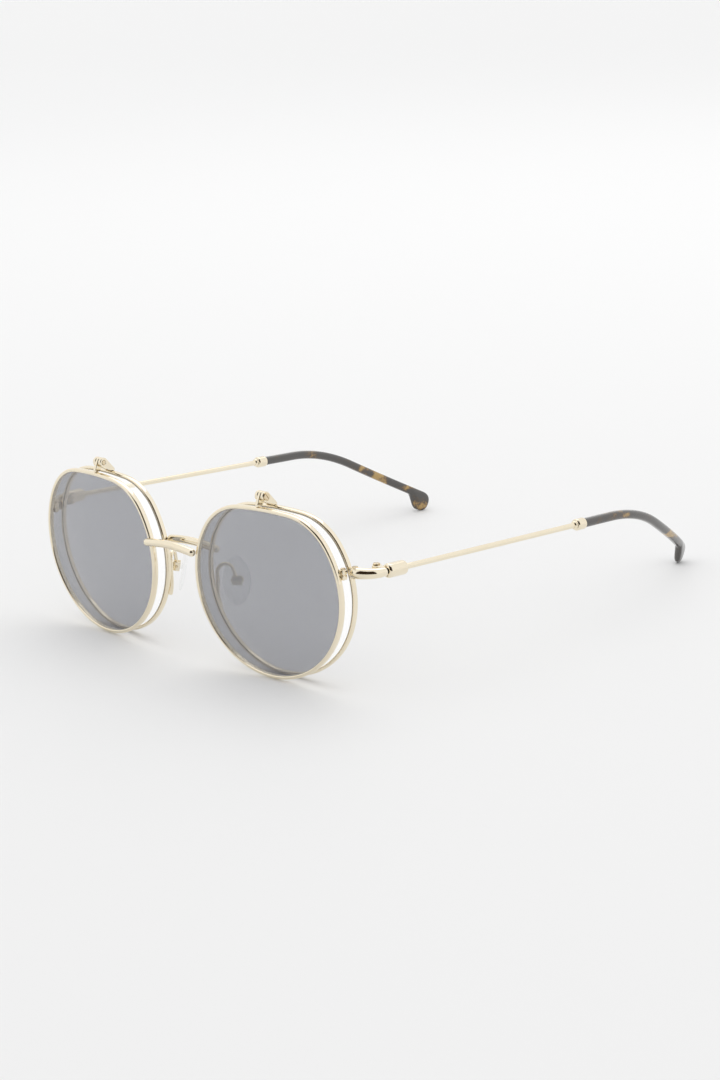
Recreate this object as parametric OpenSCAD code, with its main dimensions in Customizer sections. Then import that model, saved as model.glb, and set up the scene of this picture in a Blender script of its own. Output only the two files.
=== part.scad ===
// Flip-up sunglasses: a metal spectacle frame with clear lenses and a tinted
// front that swings up on two small hinges above the lenses.
// Millimetres. +Z up, -Y is the way the wearer looks, +X is the wearer's left.
// The frame stands on a table at z = 0, on its rear rims and both temple tips.

/* [Lens shape] */
// radius of the round lower part of the lens opening
eye_radius = 23.1; // [18:0.1:28]
// height of the flat brow above the centre of that circle
brow_height = 19.9; // [15:0.1:26]
// radius of the gently curved brow
brow_radius = 80; // [60:1:140]
// radius of the two upper corners
corner_radius = 15; // [9:0.5:17]
// radius of the ball that the lenses and rims are curved to
base_radius = 161; // [100:1:400]
// distance between the two lens openings across the nose
nose_gap = 17.8; // [14:0.1:24]
// how far each lens turns back towards the temple, in degrees
wrap_angle = 4.9; // [0:0.1:10]
// how far the top of the front leans forward, in degrees
lean_angle = 1.9; // [0:0.1:6]

/* [Rims and lenses] */
// width of the rim wire seen from the front
rim_width = 1.0; // [0.8:0.05:1.6]
// depth of the rim wire from front to back
rim_depth = 1.5; // [1.3:0.05:2.5]
// how deep the lens edge sits in the rim
groove_depth = 0.45; // [0.25:0.05:0.7]
// thickness of the lenses
lens_thickness = 0.9; // [0.6:0.05:1.2]
// free play of the lens in its groove, all round
lens_clearance = 0.03; // [0.01:0.01:0.05]
// distance from the front of the flip rims back to the front of the rear rims
front_to_rear = 4.6; // [4:0.1:8]
// height of the flip rims above the rear rims
flip_lift = 0.25; // [0.1:0.05:2]

/* [Bridges] */
// thickness of the two bridge bars
bridge_diameter = 2.1; // [1.2:0.1:3]
// how far each end of the front bridge bar laps over the rim
flip_bridge_lap = -0.2; // [-0.4:0.05:1.4]
// height of the ends of the front bridge bar above the lens centre
flip_bridge_height = 6.0; // [3:0.1:10]
// how far each end of the rear bridge bar laps over the rim
rear_bridge_lap = 0.2; // [0.1:0.05:0.8]
// height of the ends of the rear bridge bar above the lens centre
rear_bridge_height = 5.4; // [3:0.1:10]
// radius that both bridge bars are arched to
bridge_arch = 60; // [40:1:200]

/* [Flip hinges] */
// distance of each flip hinge from the middle of its lens, towards the nose
hinge_inset = 1.3; // [0:0.1:5]
// outer diameter of the flip hinge knuckles
flip_knuckle = 2.6; // [2.2:0.1:3.4]
// length of each of the three knuckles
flip_knuckle_length = 0.95; // [0.7:0.05:1.4]
// height of the hinge pin above the brow of the front rim
flip_pin_height = 2.5; // [2.2:0.1:3.5]
// diameter of the flip hinge screw's shank
flip_pin = 1.2; // [0.9:0.05:1.4]

/* [End pieces and temple hinges] */
// height of the end pieces and temple hinges above the lens centres
temple_rise = 6.9; // [3:0.1:9]
// radius of the bend from the rear rim back to the temple
end_bend = 5.3; // [4.5:0.1:9]
// diameter of the bent end piece rod
end_rod = 2.7; // [2.2:0.1:3.4]
// radius of the temple hinge knuckles
knuckle_radius = 1.1; // [0.9:0.05:1.4]
// height of the middle knuckle of the temple hinge
middle_knuckle = 1.1; // [1:0.1:2]
// height of each outer knuckle of the temple hinge
outer_knuckle = 0.7; // [0.6:0.1:1.6]
// diameter of the temple hinge screw's shank
temple_pin = 1.0; // [0.8:0.05:1.2]

/* [Closing blocks] */
// height of the small blocks that close the rims
block_height = 2.6; // [2.2:0.1:4.5]
// diameter of the screws that close the rims
block_screw = 0.8; // [0.6:0.05:1]

/* [Temples] */
// diameter of the collar at the front of each temple
collar_diameter = 3.7; // [2.8:0.1:4]
// length of that collar
collar_length = 6.8; // [5:0.1:10]
// diameter of the temple wire
wire_diameter = 1.5; // [1.2:0.05:2.2]
// slope of the temples down towards the ears, in degrees
temple_slope = 3.4; // [0:0.1:8]
// length of the wire between the collar and the ferrule
wire_length = 67.5; // [50:0.5:90]
// length of the ferrule that holds each tip
ferrule_length = 4.5; // [3.5:0.1:9]
// diameter of the ferrule
ferrule_diameter = 3.2; // [2.8:0.1:4]

/* [Temple tips] */
// thickness of the tip behind the ferrule
tip_diameter = 2.5; // [2.2:0.1:3.6]
// length of the straight start of the tip
tip_straight = 12; // [8:0.5:25]
// radius of the bend behind the ear
tip_bend_radius = 54; // [30:1:70]
// slope of the tip below the bend, in degrees
tip_end_angle = 29.4; // [20:0.2:60]
// how fast the tips curve in towards the head
tip_inward = 0.0036; // [0:0.0001:0.008]
// width of the flared end of the tip
tip_end_width = 6.2; // [3:0.1:8]
// length over which the tip flares
tip_flare = 7.5; // [6:0.5:20]

/* [Nose pads] */
// distance of each pad arm's leg in from the nose side of the rear rim
arm_inset = 1.0; // [0.5:0.1:2]
// depth of the top of the pad arm's leg below the lens centres
arm_below = 0.8; // [-2:0.1:4]
// diameter of the pad arm wire
arm_wire = 1.0; // [0.8:0.05:1.4]
// radius of the arch in the pad arm
arm_arch = 2.1; // [1.6:0.1:3]
// direction the pad arm heads in, in degrees from sideways
arm_heading = 59; // [45:1:80]
// length of the arm's leg behind the arch
arm_rear_leg = 2.6; // [1.5:0.1:5]
// long way of the nose pad
pad_length = 13; // [10:0.5:16]
// narrow way of the nose pad
pad_width = 7.4; // [6:0.2:9]
// thickness of the nose pad
pad_thickness = 1.7; // [1.2:0.1:2.5]
// heading of the pad's nose face, in degrees from straight back
pad_turn = 47; // [20:1:70]
// how far the bottom of the pads spreads, in degrees
pad_spread = 10; // [0:1:25]

/* [Fits] */
// gap left at each soldered or clamped seat
seat_gap = 0.02; // [0.01:0.01:0.05]
// radial clearance of the hinge screws in their knuckles
pin_clearance = 0.04; // [0.02:0.01:0.08]
// gap between neighbouring knuckles
knuckle_gap = 0.05; // [0.03:0.01:0.1]

/* [Hidden] */
$fn = 48;

// centre of the brow arc, and where the corner arcs meet the round part and the brow
brow_centre = brow_height - brow_radius;
corner_z = (pow(brow_centre, 2) - pow(brow_radius - corner_radius, 2)
    + pow(eye_radius - corner_radius, 2)) / (2 * brow_centre);
corner_x = sqrt(pow(eye_radius - corner_radius, 2) - pow(corner_z, 2));
low_tangent = atan2(corner_z, corner_x);
high_tangent = atan2(corner_z - brow_centre, corner_x);

// the lowest point of the rear rims stands on the table
rim_reach = eye_radius + rim_width;
eye_spacing = nose_gap / 2 + eye_radius;
rear_z = rim_reach * cos(lean_angle) - bulge(0, rim_reach) * sin(lean_angle);
flip_z = rear_z + flip_lift;
lens_lip = (rim_depth - lens_thickness) / 2;
temple_height = rear_z + temple_rise;

// where the end pieces and the closing blocks meet the rims
rear_side = on_rear(sqrt(pow(rim_reach, 2) - pow(temple_rise, 2)), temple_rise, rim_depth / 2);
flip_side = on_flip(sqrt(pow(rim_reach, 2) - pow(temple_height - flip_z, 2)), temple_height - flip_z,
    rim_depth);
temple_spacing = rear_side[0] + end_bend + 0.95;
hinge_back = rear_side[1] + end_bend + 0.1;

// overall depth, used to put the origin under the middle of the object
tip_y0 = hinge_back + 0.1 + (collar_length + wire_length + ferrule_length) * cos(temple_slope);
tip_z0 = temple_height - (collar_length + wire_length + ferrule_length) * sin(temple_slope);
bend_y = tip_y0 + tip_straight * cos(temple_slope);
bend_z = tip_z0 - tip_straight * sin(temple_slope);
tail_y = bend_y + tip_bend_radius * (sin(tip_end_angle) - sin(temple_slope));
tail_z = bend_z - tip_bend_radius * (cos(temple_slope) - cos(tip_end_angle));
// the tail is as long as it takes to reach the table
tip_reach = max([for (t = [0 : 0.1 : tip_flare]) (tip_half(t) + tip_drop(t)) * cos(tip_end_angle)
    - t * sin(tip_end_angle)]);
tip_tail = (tail_z - tip_reach - 0.02) / sin(tip_end_angle);
tip_arc = tip_bend_radius * (tip_end_angle - temple_slope) * PI / 180;
tip_total = tip_straight + tip_arc + tip_tail;
bridge_y = on_flip(-rim_reach, flip_bridge_height, 0)[1] - bridge_diameter / 2 - 0.1;
flip_bridge_half = flip_bridge_lap
    + on_flip(-sqrt(pow(rim_reach, 2) - pow(flip_bridge_height, 2)), flip_bridge_height, 0)[0];
rear_bridge_half = rear_bridge_lap
    + on_rear(-sqrt(pow(rim_reach, 2) - pow(rear_bridge_height, 2)), rear_bridge_height, rim_depth)[0];

hinge_u = -hinge_inset;
pin_y = on_flip(hinge_u, brow_height + rim_width, 0)[1] + front_to_rear / 2;
pin_z = on_flip(hinge_u, brow_height + rim_width, 0)[2] + flip_pin_height;
pin_x = eye_spacing - hinge_inset;
hinge_x = temple_spacing - collar_diameter / 2 - knuckle_radius;

arm_height = rear_z - arm_below;
arm_foot = [nose_gap / 2 - rim_width + arm_inset, on_rear(-rim_reach, 0, rim_depth)[1] + 0.3 + arm_wire / 2];
arm_drop = 19;
box_out = arm_arch * (1 + cos(arm_drop)) + (arm_rear_leg + 0.5) * sin(arm_drop);
box_z = arm_height + arm_arch * sin(arm_drop) - (arm_rear_leg + 0.9) * cos(arm_drop);
box_at = [arm_foot[0] + box_out * cos(arm_heading), arm_foot[1] + box_out * sin(arm_heading), box_z];

function bulge(u, w) = base_radius - sqrt(pow(base_radius, 2) - u * u - w * w);

// a point of a lens's own frame turned by the lean and the wrap
function turned(p) =
    let (y = p[1] * cos(lean_angle) - p[2] * sin(lean_angle),
         z = p[1] * sin(lean_angle) + p[2] * cos(lean_angle))
    [p[0] * cos(wrap_angle) - y * sin(wrap_angle), p[0] * sin(wrap_angle) + y * cos(wrap_angle), z];

// where a point at (u, w) of the left front face, v behind it, is in the whole object
function on_flip(u, w, v) = [eye_spacing, 0, flip_z] + turned([u, bulge(u, w) + v, w]);
function on_rear(u, w, v) = [eye_spacing, front_to_rear, rear_z] + turned([u, bulge(u, w) + v, w]);

// front and back ends of the whole object; its origin lies under the middle of the two
front_end = bridge_y - bridge_diameter * 0.515;
back_end = max([for (t = [0 : 0.1 : tip_flare]) tip_y(tip_total - t)
    + (tip_half(t) - tip_drop(t)) * sin(tip_end_angle)]);
centre_y = (front_end + back_end) / 2;

module placed() {
    translate([0, -centre_y, 0]) children();
}

module other_side() {
    mirror([1, 0, 0]) children();
}

module at_flip() {
    translate([eye_spacing, 0, flip_z]) rotate([0, 0, wrap_angle]) rotate([lean_angle, 0, 0]) children();
}

module at_rear() {
    translate([eye_spacing, front_to_rear, rear_z])
        rotate([0, 0, wrap_angle]) rotate([lean_angle, 0, 0]) children();
}

// lens outline, grown all round by g: a circle, flattened by the brow, with rounded corners
module outline(g) {
    difference() {
        intersection() {
            circle(r = eye_radius + g);
            translate([0, brow_centre]) circle(r = brow_radius + g);
        }
        for (side = [1, -1]) {
            polygon([
                [side * (eye_radius + g) * cos(low_tangent), (eye_radius + g) * sin(low_tangent)],
                [side * (eye_radius + g) * 1.3, (eye_radius + g) * sin(low_tangent)],
                [side * (eye_radius + g) * 1.3, brow_height + g + 5],
                [side * (brow_radius + g) * cos(high_tangent), brow_height + g + 5],
                [side * (brow_radius + g) * cos(high_tangent),
                    brow_centre + (brow_radius + g) * sin(high_tangent)]]);
        }
    }
    for (side = [1, -1]) {
        translate([side * corner_x, corner_z]) circle(r = corner_radius + g);
    }
}

module prism(g) {
    translate([0, 12, 0]) rotate([90, 0, 0]) linear_extrude(20) outline(g);
}

// space between two balls, from depth a to depth b behind the front face
module curved_slab(a, b) {
    translate([0, base_radius, 0]) difference() {
        sphere(r = base_radius - a, $fn = 200);
        sphere(r = base_radius - b, $fn = 200);
    }
}

module rim() {
    intersection() {
        difference() {
            prism(rim_width);
            prism(0);
        }
        difference() {
            curved_slab(0, rim_depth);
            intersection() {
                prism(groove_depth);
                curved_slab(lens_lip - lens_clearance, rim_depth - lens_lip + lens_clearance);
            }
        }
    }
}

module lens() {
    intersection() {
        prism(groove_depth - lens_clearance);
        curved_slab(lens_lip, lens_lip + lens_thickness);
    }
}

// arched bar along x with rounded ends
module arched_bar(half) {
    spread = asin(half / bridge_arch);
    rotate([90, 0, 0]) translate([0, -bridge_arch * cos(spread), 0]) {
        rotate([0, 0, 90 - spread]) rotate_extrude(angle = 2 * spread)
            translate([bridge_arch, 0]) circle(d = bridge_diameter);
        for (side = [1, -1]) {
            rotate([0, 0, 90 + side * spread]) translate([bridge_arch, 0, 0])
                sphere(d = bridge_diameter * 1.03);
        }
    }
}

// cylinder with rounded rims at both ends
module eased_cylinder(r, h, e) {
    rotate_extrude() {
        square([r - e, h]);
        translate([0, e]) square([r, h - 2 * e]);
        translate([r - e, e]) circle(r = e);
        translate([r - e, h - e]) circle(r = e);
    }
}

// screw along z: shank from z = 0 down, slotted head on top
module screw(shank, depth, head, head_height) {
    difference() {
        union() {
            translate([0, 0, -depth]) cylinder(d = shank, h = depth);
            cylinder(d = head, h = head_height);
        }
        translate([-head, -0.1, head_height * 0.5]) cube([2 * head, 0.2, head_height]);
    }
}

// rear rims, clear lenses and the bar between them
module rear_rim_side() {
    placed() at_rear() rim();
}
module rear_rim_left() color("gold") rear_rim_side();
module rear_rim_right() color("gold") other_side() rear_rim_side();

module clear_lens_side() {
    placed() at_rear() lens();
}
module clear_lens_left() color("white", 0.3) clear_lens_side();
module clear_lens_right() color("white", 0.3) other_side() clear_lens_side();

module rear_bridge() color("gold") placed()
    translate([0, on_rear(-rim_reach, rear_bridge_height, rim_depth)[1] + bridge_diameter / 2 + 0.05,
        rear_z + rear_bridge_height]) arched_bar(rear_bridge_half);

// bent rod with the block that closes the rear rim and the two outer hinge knuckles
module end_piece_side() {
    placed() difference() {
        union() {
            translate([temple_spacing - end_bend, hinge_back - 0.1, temple_height])
                rotate([0, 0, -90]) rotate_extrude(angle = 90) translate([end_bend, 0]) circle(d = end_rod);
            translate([rear_side[0] + 0.05, rear_side[1] - 1, temple_height - block_height / 2])
                cube([2.2, 2, block_height]);
            for (side = [1, -1]) {
                translate([0, 0, temple_height + side * (middle_knuckle + outer_knuckle + 2 * knuckle_gap) / 2]) {
                    translate([hinge_x, hinge_back, -outer_knuckle / 2])
                        cylinder(r = knuckle_radius, h = outer_knuckle);
                    translate([hinge_x, hinge_back - 2, -outer_knuckle / 2])
                        cube([temple_spacing - hinge_x, 1.9, outer_knuckle]);
                }
            }
        }
        translate([hinge_x, hinge_back, temple_height - 5])
            cylinder(d = temple_pin + 2 * pin_clearance, h = 10);
        translate([hinge_x, hinge_back, temple_height - middle_knuckle / 2 - knuckle_gap])
            cylinder(r = knuckle_radius + 0.1, h = middle_knuckle + 2 * knuckle_gap);
        translate([rear_side[0] + 1.15, rear_side[1], temple_height - 5])
            cylinder(d = block_screw + 2 * seat_gap, h = 10);
        at_rear() prism(rim_width + seat_gap);
    }
}
module end_piece_left() color("gold") end_piece_side();
module end_piece_right() color("gold") other_side() end_piece_side();

module rim_screw_side() {
    placed() translate([rear_side[0] + 1.15, rear_side[1], temple_height + block_height / 2 + seat_gap])
        screw(block_screw, block_height + 0.3, 1.5, 0.3);
}
module rim_screw_left() color("goldenrod") rim_screw_side();
module rim_screw_right() color("goldenrod") other_side() rim_screw_side();

module temple_pin_side() {
    tall = middle_knuckle / 2 + knuckle_gap + outer_knuckle;
    placed() translate([hinge_x, hinge_back, temple_height + tall + seat_gap])
        screw(temple_pin, 2 * tall + 0.2, 1.8, 0.3);
}
module temple_pin_left() color("goldenrod") temple_pin_side();
module temple_pin_right() color("goldenrod") other_side() temple_pin_side();

// arm bent from wire: a leg up from the rim, an arch, and a leg down to the pad box
module pad_arm_side() {
    foot_at = on_rear(-sqrt(pow(eye_radius + rim_width / 2, 2) - 81), -9, rim_depth);
    difference() {
        placed() {
            translate([arm_foot[0], arm_foot[1], 0]) rotate([0, 0, arm_heading]) {
                translate([0, 0, foot_at[2]]) cylinder(d = arm_wire, h = arm_height - foot_at[2]);
                translate([0, 0, arm_height]) sphere(d = arm_wire * 1.04);
                translate([arm_arch, 0, arm_height]) rotate([90, 0, 0]) rotate([0, 0, arm_drop]) {
                    rotate_extrude(angle = 180 - arm_drop) translate([arm_arch, 0]) circle(d = arm_wire);
                    translate([arm_arch, 0, 0]) sphere(d = arm_wire * 1.04);
                    translate([arm_arch, 0, 0]) rotate([90, 0, 0]) cylinder(d = arm_wire, h = arm_rear_leg);
                }
            }
            translate([arm_foot[0] - 0.3, foot_at[1] + 0.12, foot_at[2] - 1.2])
                cube([foot_at[0] - arm_foot[0] + 0.7, arm_foot[1] - foot_at[1] + 0.2, 2.6]);
        }
        at_pad() pad_block(seat_gap);
    }
}
module pad_arm_left() color("gold") pad_arm_side();
module pad_arm_right() color("gold") other_side() pad_arm_side();

// the pad's own frame: z up the pad, y out of its nose face, x along its screw
module at_pad() {
    placed() translate(box_at) rotate([0, 0, pad_turn]) rotate([-pad_spread, 0, 0]) children();
}

module pad_block(g) {
    translate([-1.35 - g, -1.3 - g, -1.2 - g]) cube([2.7 + 2 * g, 2.2 + 2 * g, 2.4 + 2 * g]);
}

module pad_box_side() {
    at_pad() difference() {
        pad_block(0);
        translate([-0.8, -0.8, -1.3]) cube([1.6, 2, 2.6]);
        rotate([0, 90, 0]) translate([0, 0, -2]) cylinder(d = 0.8 + 2 * pin_clearance, h = 4);
    }
}
module pad_box_left() color("gold") pad_box_side();
module pad_box_right() color("gold") other_side() pad_box_side();

module pad_screw_side() {
    at_pad() rotate([0, 90, 0]) translate([0, 0, 1.35 + seat_gap]) screw(0.8, 3.1, 1.3, 0.4);
}
module pad_screw_left() color("goldenrod") pad_screw_side();
module pad_screw_right() color("goldenrod") other_side() pad_screw_side();

// clear oval pad with a tongue that rocks on the pad screw
module nose_pad_side() {
    side_radius = (pow(pad_length * 0.56, 2) + pow(pad_width / 2, 2)) / pad_width;
    at_pad() difference() {
        union() {
            intersection() {
                translate([0, 6, 0]) rotate([90, 0, 0]) linear_extrude(8) intersection() {
                    translate([side_radius - pad_width / 2, 0]) circle(r = side_radius);
                    translate([pad_width / 2 - side_radius, 0]) circle(r = side_radius);
                    circle(d = pad_length);
                }
                translate([0, 1.3 + pad_thickness - 22, 0]) sphere(r = 22, $fn = 120);
                translate([-10, 1.3, -10]) cube([20, 10, 20]);
            }
            translate([-0.72, 0, -0.7]) cube([1.44, 1.6, 1.4]);
            rotate([0, 90, 0]) translate([0, 0, -0.72]) cylinder(r = 0.72, h = 1.44);
        }
        rotate([0, 90, 0]) translate([0, 0, -3]) cylinder(d = 0.8 + 2 * pin_clearance, h = 6);
    }
}
module nose_pad_left() color("azure", 0.5) nose_pad_side();
module nose_pad_right() color("azure", 0.5) other_side() nose_pad_side();

// yoke on the rear rim: two ears that carry the outer knuckles of the flip hinge
module flip_yoke_side() {
    rim_top = on_rear(hinge_u, brow_height + rim_width, 0);
    wide = 3 * flip_knuckle_length + 2 * knuckle_gap;
    placed() difference() {
        union() {
            for (side = [1, -1]) {
                translate([pin_x + side * (flip_knuckle_length + knuckle_gap) - flip_knuckle_length / 2, pin_y, pin_z])
                    rotate([90, 0, 90]) linear_extrude(flip_knuckle_length) {
                        circle(d = flip_knuckle);
                        polygon([[0, flip_knuckle / 2], [0, -flip_knuckle / 2],
                            [rim_top[1] - pin_y + 0.2, rim_top[2] - pin_z - 0.3],
                            [rim_top[1] - pin_y + rim_depth, rim_top[2] - pin_z - 0.3],
                            [rim_top[1] - pin_y + rim_depth - 0.1, rim_top[2] - pin_z + 0.6],
                            [flip_knuckle * 0.34, flip_knuckle * 0.36]]);
                    }
            }
            translate([pin_x - wide / 2, rim_top[1] + 0.3, rim_top[2] - 0.3])
                cube([wide, rim_depth - 0.4, 0.9]);
        }
        translate([0, 0, seat_gap]) at_rear() prism(rim_width + seat_gap);
        translate([pin_x - 5, pin_y, pin_z]) rotate([0, 90, 0])
            cylinder(d = flip_pin + 2 * pin_clearance, h = 10);
    }
}
module flip_yoke_left() color("gold") flip_yoke_side();
module flip_yoke_right() color("gold") other_side() flip_yoke_side();

module flip_pin_side() {
    long = 1.5 * flip_knuckle_length + knuckle_gap;
    placed() translate([pin_x + long + seat_gap, pin_y, pin_z]) rotate([0, 90, 0])
        screw(flip_pin, 2 * long + 0.15, 2.0, 0.35);
}
module flip_pin_left() color("goldenrod") flip_pin_side();
module flip_pin_right() color("goldenrod") other_side() flip_pin_side();

// temples: collar with the middle hinge knuckle, wire, ferrule and tip
module at_temple(along) {
    placed() translate([temple_spacing, hinge_back + 0.1, temple_height]) rotate([-temple_slope, 0, 0])
        translate([0, along, 0]) children();
}

module temple_collar_side() {
    difference() {
        union() {
            difference() {
                at_temple(0.15) rotate([-90, 0, 0])
                    eased_cylinder(collar_diameter / 2, collar_length - 0.2, 0.6);
                placed() translate([hinge_x, hinge_back, temple_height - 5])
                    cylinder(r = knuckle_radius + 0.05, h = 10);
            }
            placed() translate([hinge_x, hinge_back, temple_height - middle_knuckle / 2]) {
                cylinder(r = knuckle_radius, h = middle_knuckle);
                translate([0, 0.2, 0]) cube([temple_spacing - hinge_x, 2.6, middle_knuckle]);
            }
        }
        placed() translate([hinge_x, hinge_back, temple_height - 5])
            cylinder(d = temple_pin + 2 * pin_clearance, h = 10);
    }
}
module temple_collar_left() color("gold") temple_collar_side();
module temple_collar_right() color("gold") other_side() temple_collar_side();

module temple_wire_side() {
    at_temple(collar_length) rotate([-90, 0, 0]) cylinder(d = wire_diameter, h = wire_length - seat_gap);
}
module temple_wire_left() color("gold") temple_wire_side();
module temple_wire_right() color("gold") other_side() temple_wire_side();

module tip_ferrule_side() {
    at_temple(collar_length + wire_length) rotate([-90, 0, 0]) {
        eased_cylinder(wire_diameter * 0.75, 1.2, 0.3);
        translate([0, 0, 1]) eased_cylinder(ferrule_diameter / 2, ferrule_length - 1 - seat_gap, 0.5);
    }
}
module tip_ferrule_left() color("gold") tip_ferrule_side();
module tip_ferrule_right() color("gold") other_side() tip_ferrule_side();

// point and slope of the tip's centre line at distance s from the ferrule
function tip_angle(s) = s < tip_straight ? temple_slope :
    s < tip_straight + tip_arc ? temple_slope + (s - tip_straight) / tip_bend_radius * 180 / PI :
    tip_end_angle;
function tip_y(s) = s < tip_straight ? tip_y0 + s * cos(temple_slope) :
    s < tip_straight + tip_arc ? bend_y + tip_bend_radius * (sin(tip_angle(s)) - sin(temple_slope)) :
    tail_y + (s - tip_straight - tip_arc) * cos(tip_end_angle);
function tip_z(s) = s < tip_straight ? tip_z0 - s * sin(temple_slope) :
    s < tip_straight + tip_arc ? bend_z - tip_bend_radius * (cos(temple_slope) - cos(tip_angle(s))) :
    tail_z - (s - tip_straight - tip_arc) * sin(tip_end_angle);
function tip_x(s) = temple_spacing - tip_inward * pow(max(0, s - tip_straight), 2);
// width and end shape of the tip at distance t from its end; all the flare is on the lower side
function flare(t) =
    let (q = min(1, max(0, 2 * t / tip_flare - 0.9))) 1 - q * q * (3 - 2 * q);
function nose(t) = pow(max(0.004, 1 - pow(max(0, 1 - 2 * t / tip_end_width), 2.6)), 0.42);
function tip_half(t) = (tip_diameter + (tip_end_width - tip_diameter) * flare(t)) / 2 * nose(t);
function tip_drop(t) = (tip_end_width - tip_diameter) / 2 * flare(t);
function squared(v) = sign(v) * pow(abs(v), 0.8);
function tip_ring(s, sides) = [for (k = [0 : sides - 1])
    let (a = 360 * k / sides, t = tip_total - s, h = tip_half(t) * squared(sin(a)) - tip_drop(t))
    [tip_x(s) + tip_diameter / 2 * nose(t) * squared(cos(a)), tip_y(s) + h * sin(tip_angle(s)),
        tip_z(s) + h * cos(tip_angle(s))]];

module temple_tip_side() {
    sides = 24;
    even = [for (k = [0 : 30]) k / 30 * (tip_total - tip_end_width / 2)];
    end = [for (k = [1 : 9]) tip_total - tip_end_width / 2 * (1 - sin(10 * k))];
    stops = concat(even, end);
    last = len(stops) - 1;
    points = [for (s = stops) each tip_ring(s, sides)];
    walls = [for (r = [0 : last - 1], k = [0 : sides - 1]) each [
        [r * sides + k, r * sides + (k + 1) % sides, (r + 1) * sides + (k + 1) % sides],
        [r * sides + k, (r + 1) * sides + (k + 1) % sides, (r + 1) * sides + k]]];
    front = [[for (k = [0 : sides - 1]) sides - 1 - k]];
    back = [[for (k = [0 : sides - 1]) last * sides + k]];
    placed() polyhedron(points, concat(front, walls, back));
}
module temple_tip_left() color("saddlebrown") temple_tip_side();
module temple_tip_right() color("saddlebrown") other_side() temple_tip_side();

// the tinted front that flips up
module flip_rim_side() {
    placed() at_flip() rim();
}
module flip_rim_left() color("gold") flip_rim_side();
module flip_rim_right() color("gold") other_side() flip_rim_side();

module tinted_lens_side() {
    placed() at_flip() lens();
}
module tinted_lens_left() color("dimgray", 0.7) tinted_lens_side();
module tinted_lens_right() color("dimgray", 0.7) other_side() tinted_lens_side();

module flip_bridge() color("gold") placed() translate([0, bridge_y, flip_z + flip_bridge_height])
    arched_bar(flip_bridge_half);

// middle knuckle of the flip hinge with its foot on the flip rim
module flip_knuckle_side() {
    rim_top = on_flip(hinge_u, brow_height + rim_width, 0);
    placed() difference() {
        translate([pin_x - flip_knuckle_length / 2, pin_y, pin_z])
            rotate([90, 0, 90]) linear_extrude(flip_knuckle_length) {
                circle(d = flip_knuckle);
                polygon([[0, flip_knuckle / 2], [-flip_knuckle * 0.45, flip_knuckle * 0.2],
                    [rim_top[1] - pin_y + 0.1, rim_top[2] - pin_z + 0.7],
                    [rim_top[1] - pin_y + 0.1, rim_top[2] - pin_z - 0.3],
                    [rim_top[1] - pin_y + rim_depth - 0.1, rim_top[2] - pin_z - 0.3],
                    [0, -flip_knuckle / 2]]);
            }
        translate([0, 0, seat_gap]) at_flip() prism(rim_width + seat_gap);
        translate([pin_x - 5, pin_y, pin_z]) rotate([0, 90, 0])
            cylinder(d = flip_pin + 2 * pin_clearance, h = 10);
    }
}
module flip_knuckle_left() color("gold") flip_knuckle_side();
module flip_knuckle_right() color("gold") other_side() flip_knuckle_side();

// block behind the flip rim that closes it
module flip_block_side() {
    placed() difference() {
        translate([flip_side[0] - 0.9, flip_side[1] + seat_gap, temple_height - block_height / 2])
            cube([1.6, 1.6, block_height]);
        translate([flip_side[0] - 0.1, flip_side[1] + 0.85, temple_height - 5])
            cylinder(d = block_screw + 2 * seat_gap, h = 10);
    }
}
module flip_block_left() color("gold") flip_block_side();
module flip_block_right() color("gold") other_side() flip_block_side();

module block_screw_side() {
    placed() translate([flip_side[0] - 0.1, flip_side[1] + 0.85, temple_height + block_height / 2 + seat_gap])
        screw(block_screw, block_height + 0.2, 1.3, 0.3);
}
module block_screw_left() color("goldenrod") block_screw_side();
module block_screw_right() color("goldenrod") other_side() block_screw_side();

rear_rim_left();
rear_rim_right();
clear_lens_left();
clear_lens_right();
rear_bridge();
end_piece_left();
end_piece_right();
rim_screw_left();
rim_screw_right();
temple_pin_left();
temple_pin_right();
pad_arm_left();
pad_arm_right();
pad_box_left();
pad_box_right();
pad_screw_left();
pad_screw_right();
nose_pad_left();
nose_pad_right();
flip_yoke_left();
flip_yoke_right();
flip_pin_left();
flip_pin_right();
temple_collar_left();
temple_collar_right();
temple_wire_left();
temple_wire_right();
tip_ferrule_left();
tip_ferrule_right();
temple_tip_left();
temple_tip_right();
flip_rim_left();
flip_rim_right();
tinted_lens_left();
tinted_lens_right();
flip_bridge();
flip_knuckle_left();
flip_knuckle_right();
flip_block_left();
flip_block_right();
block_screw_left();
block_screw_right();
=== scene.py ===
# %% [markdown]
# # Flip-up sunglasses, built piece by piece
# The object is a metal spectacle frame with clear lenses. A second, tinted front
# hangs before it on two small hinges and swings up over the brow. The CAD model
# says where every piece goes. This script makes the pieces that are seen, at those
# places, and gives each its finish.

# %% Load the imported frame
from math import asin, atan2, cos, hypot, pi, radians, sin, sqrt
import bmesh
import bpy
import numpy as np
from mathutils import Matrix, Vector


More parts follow.
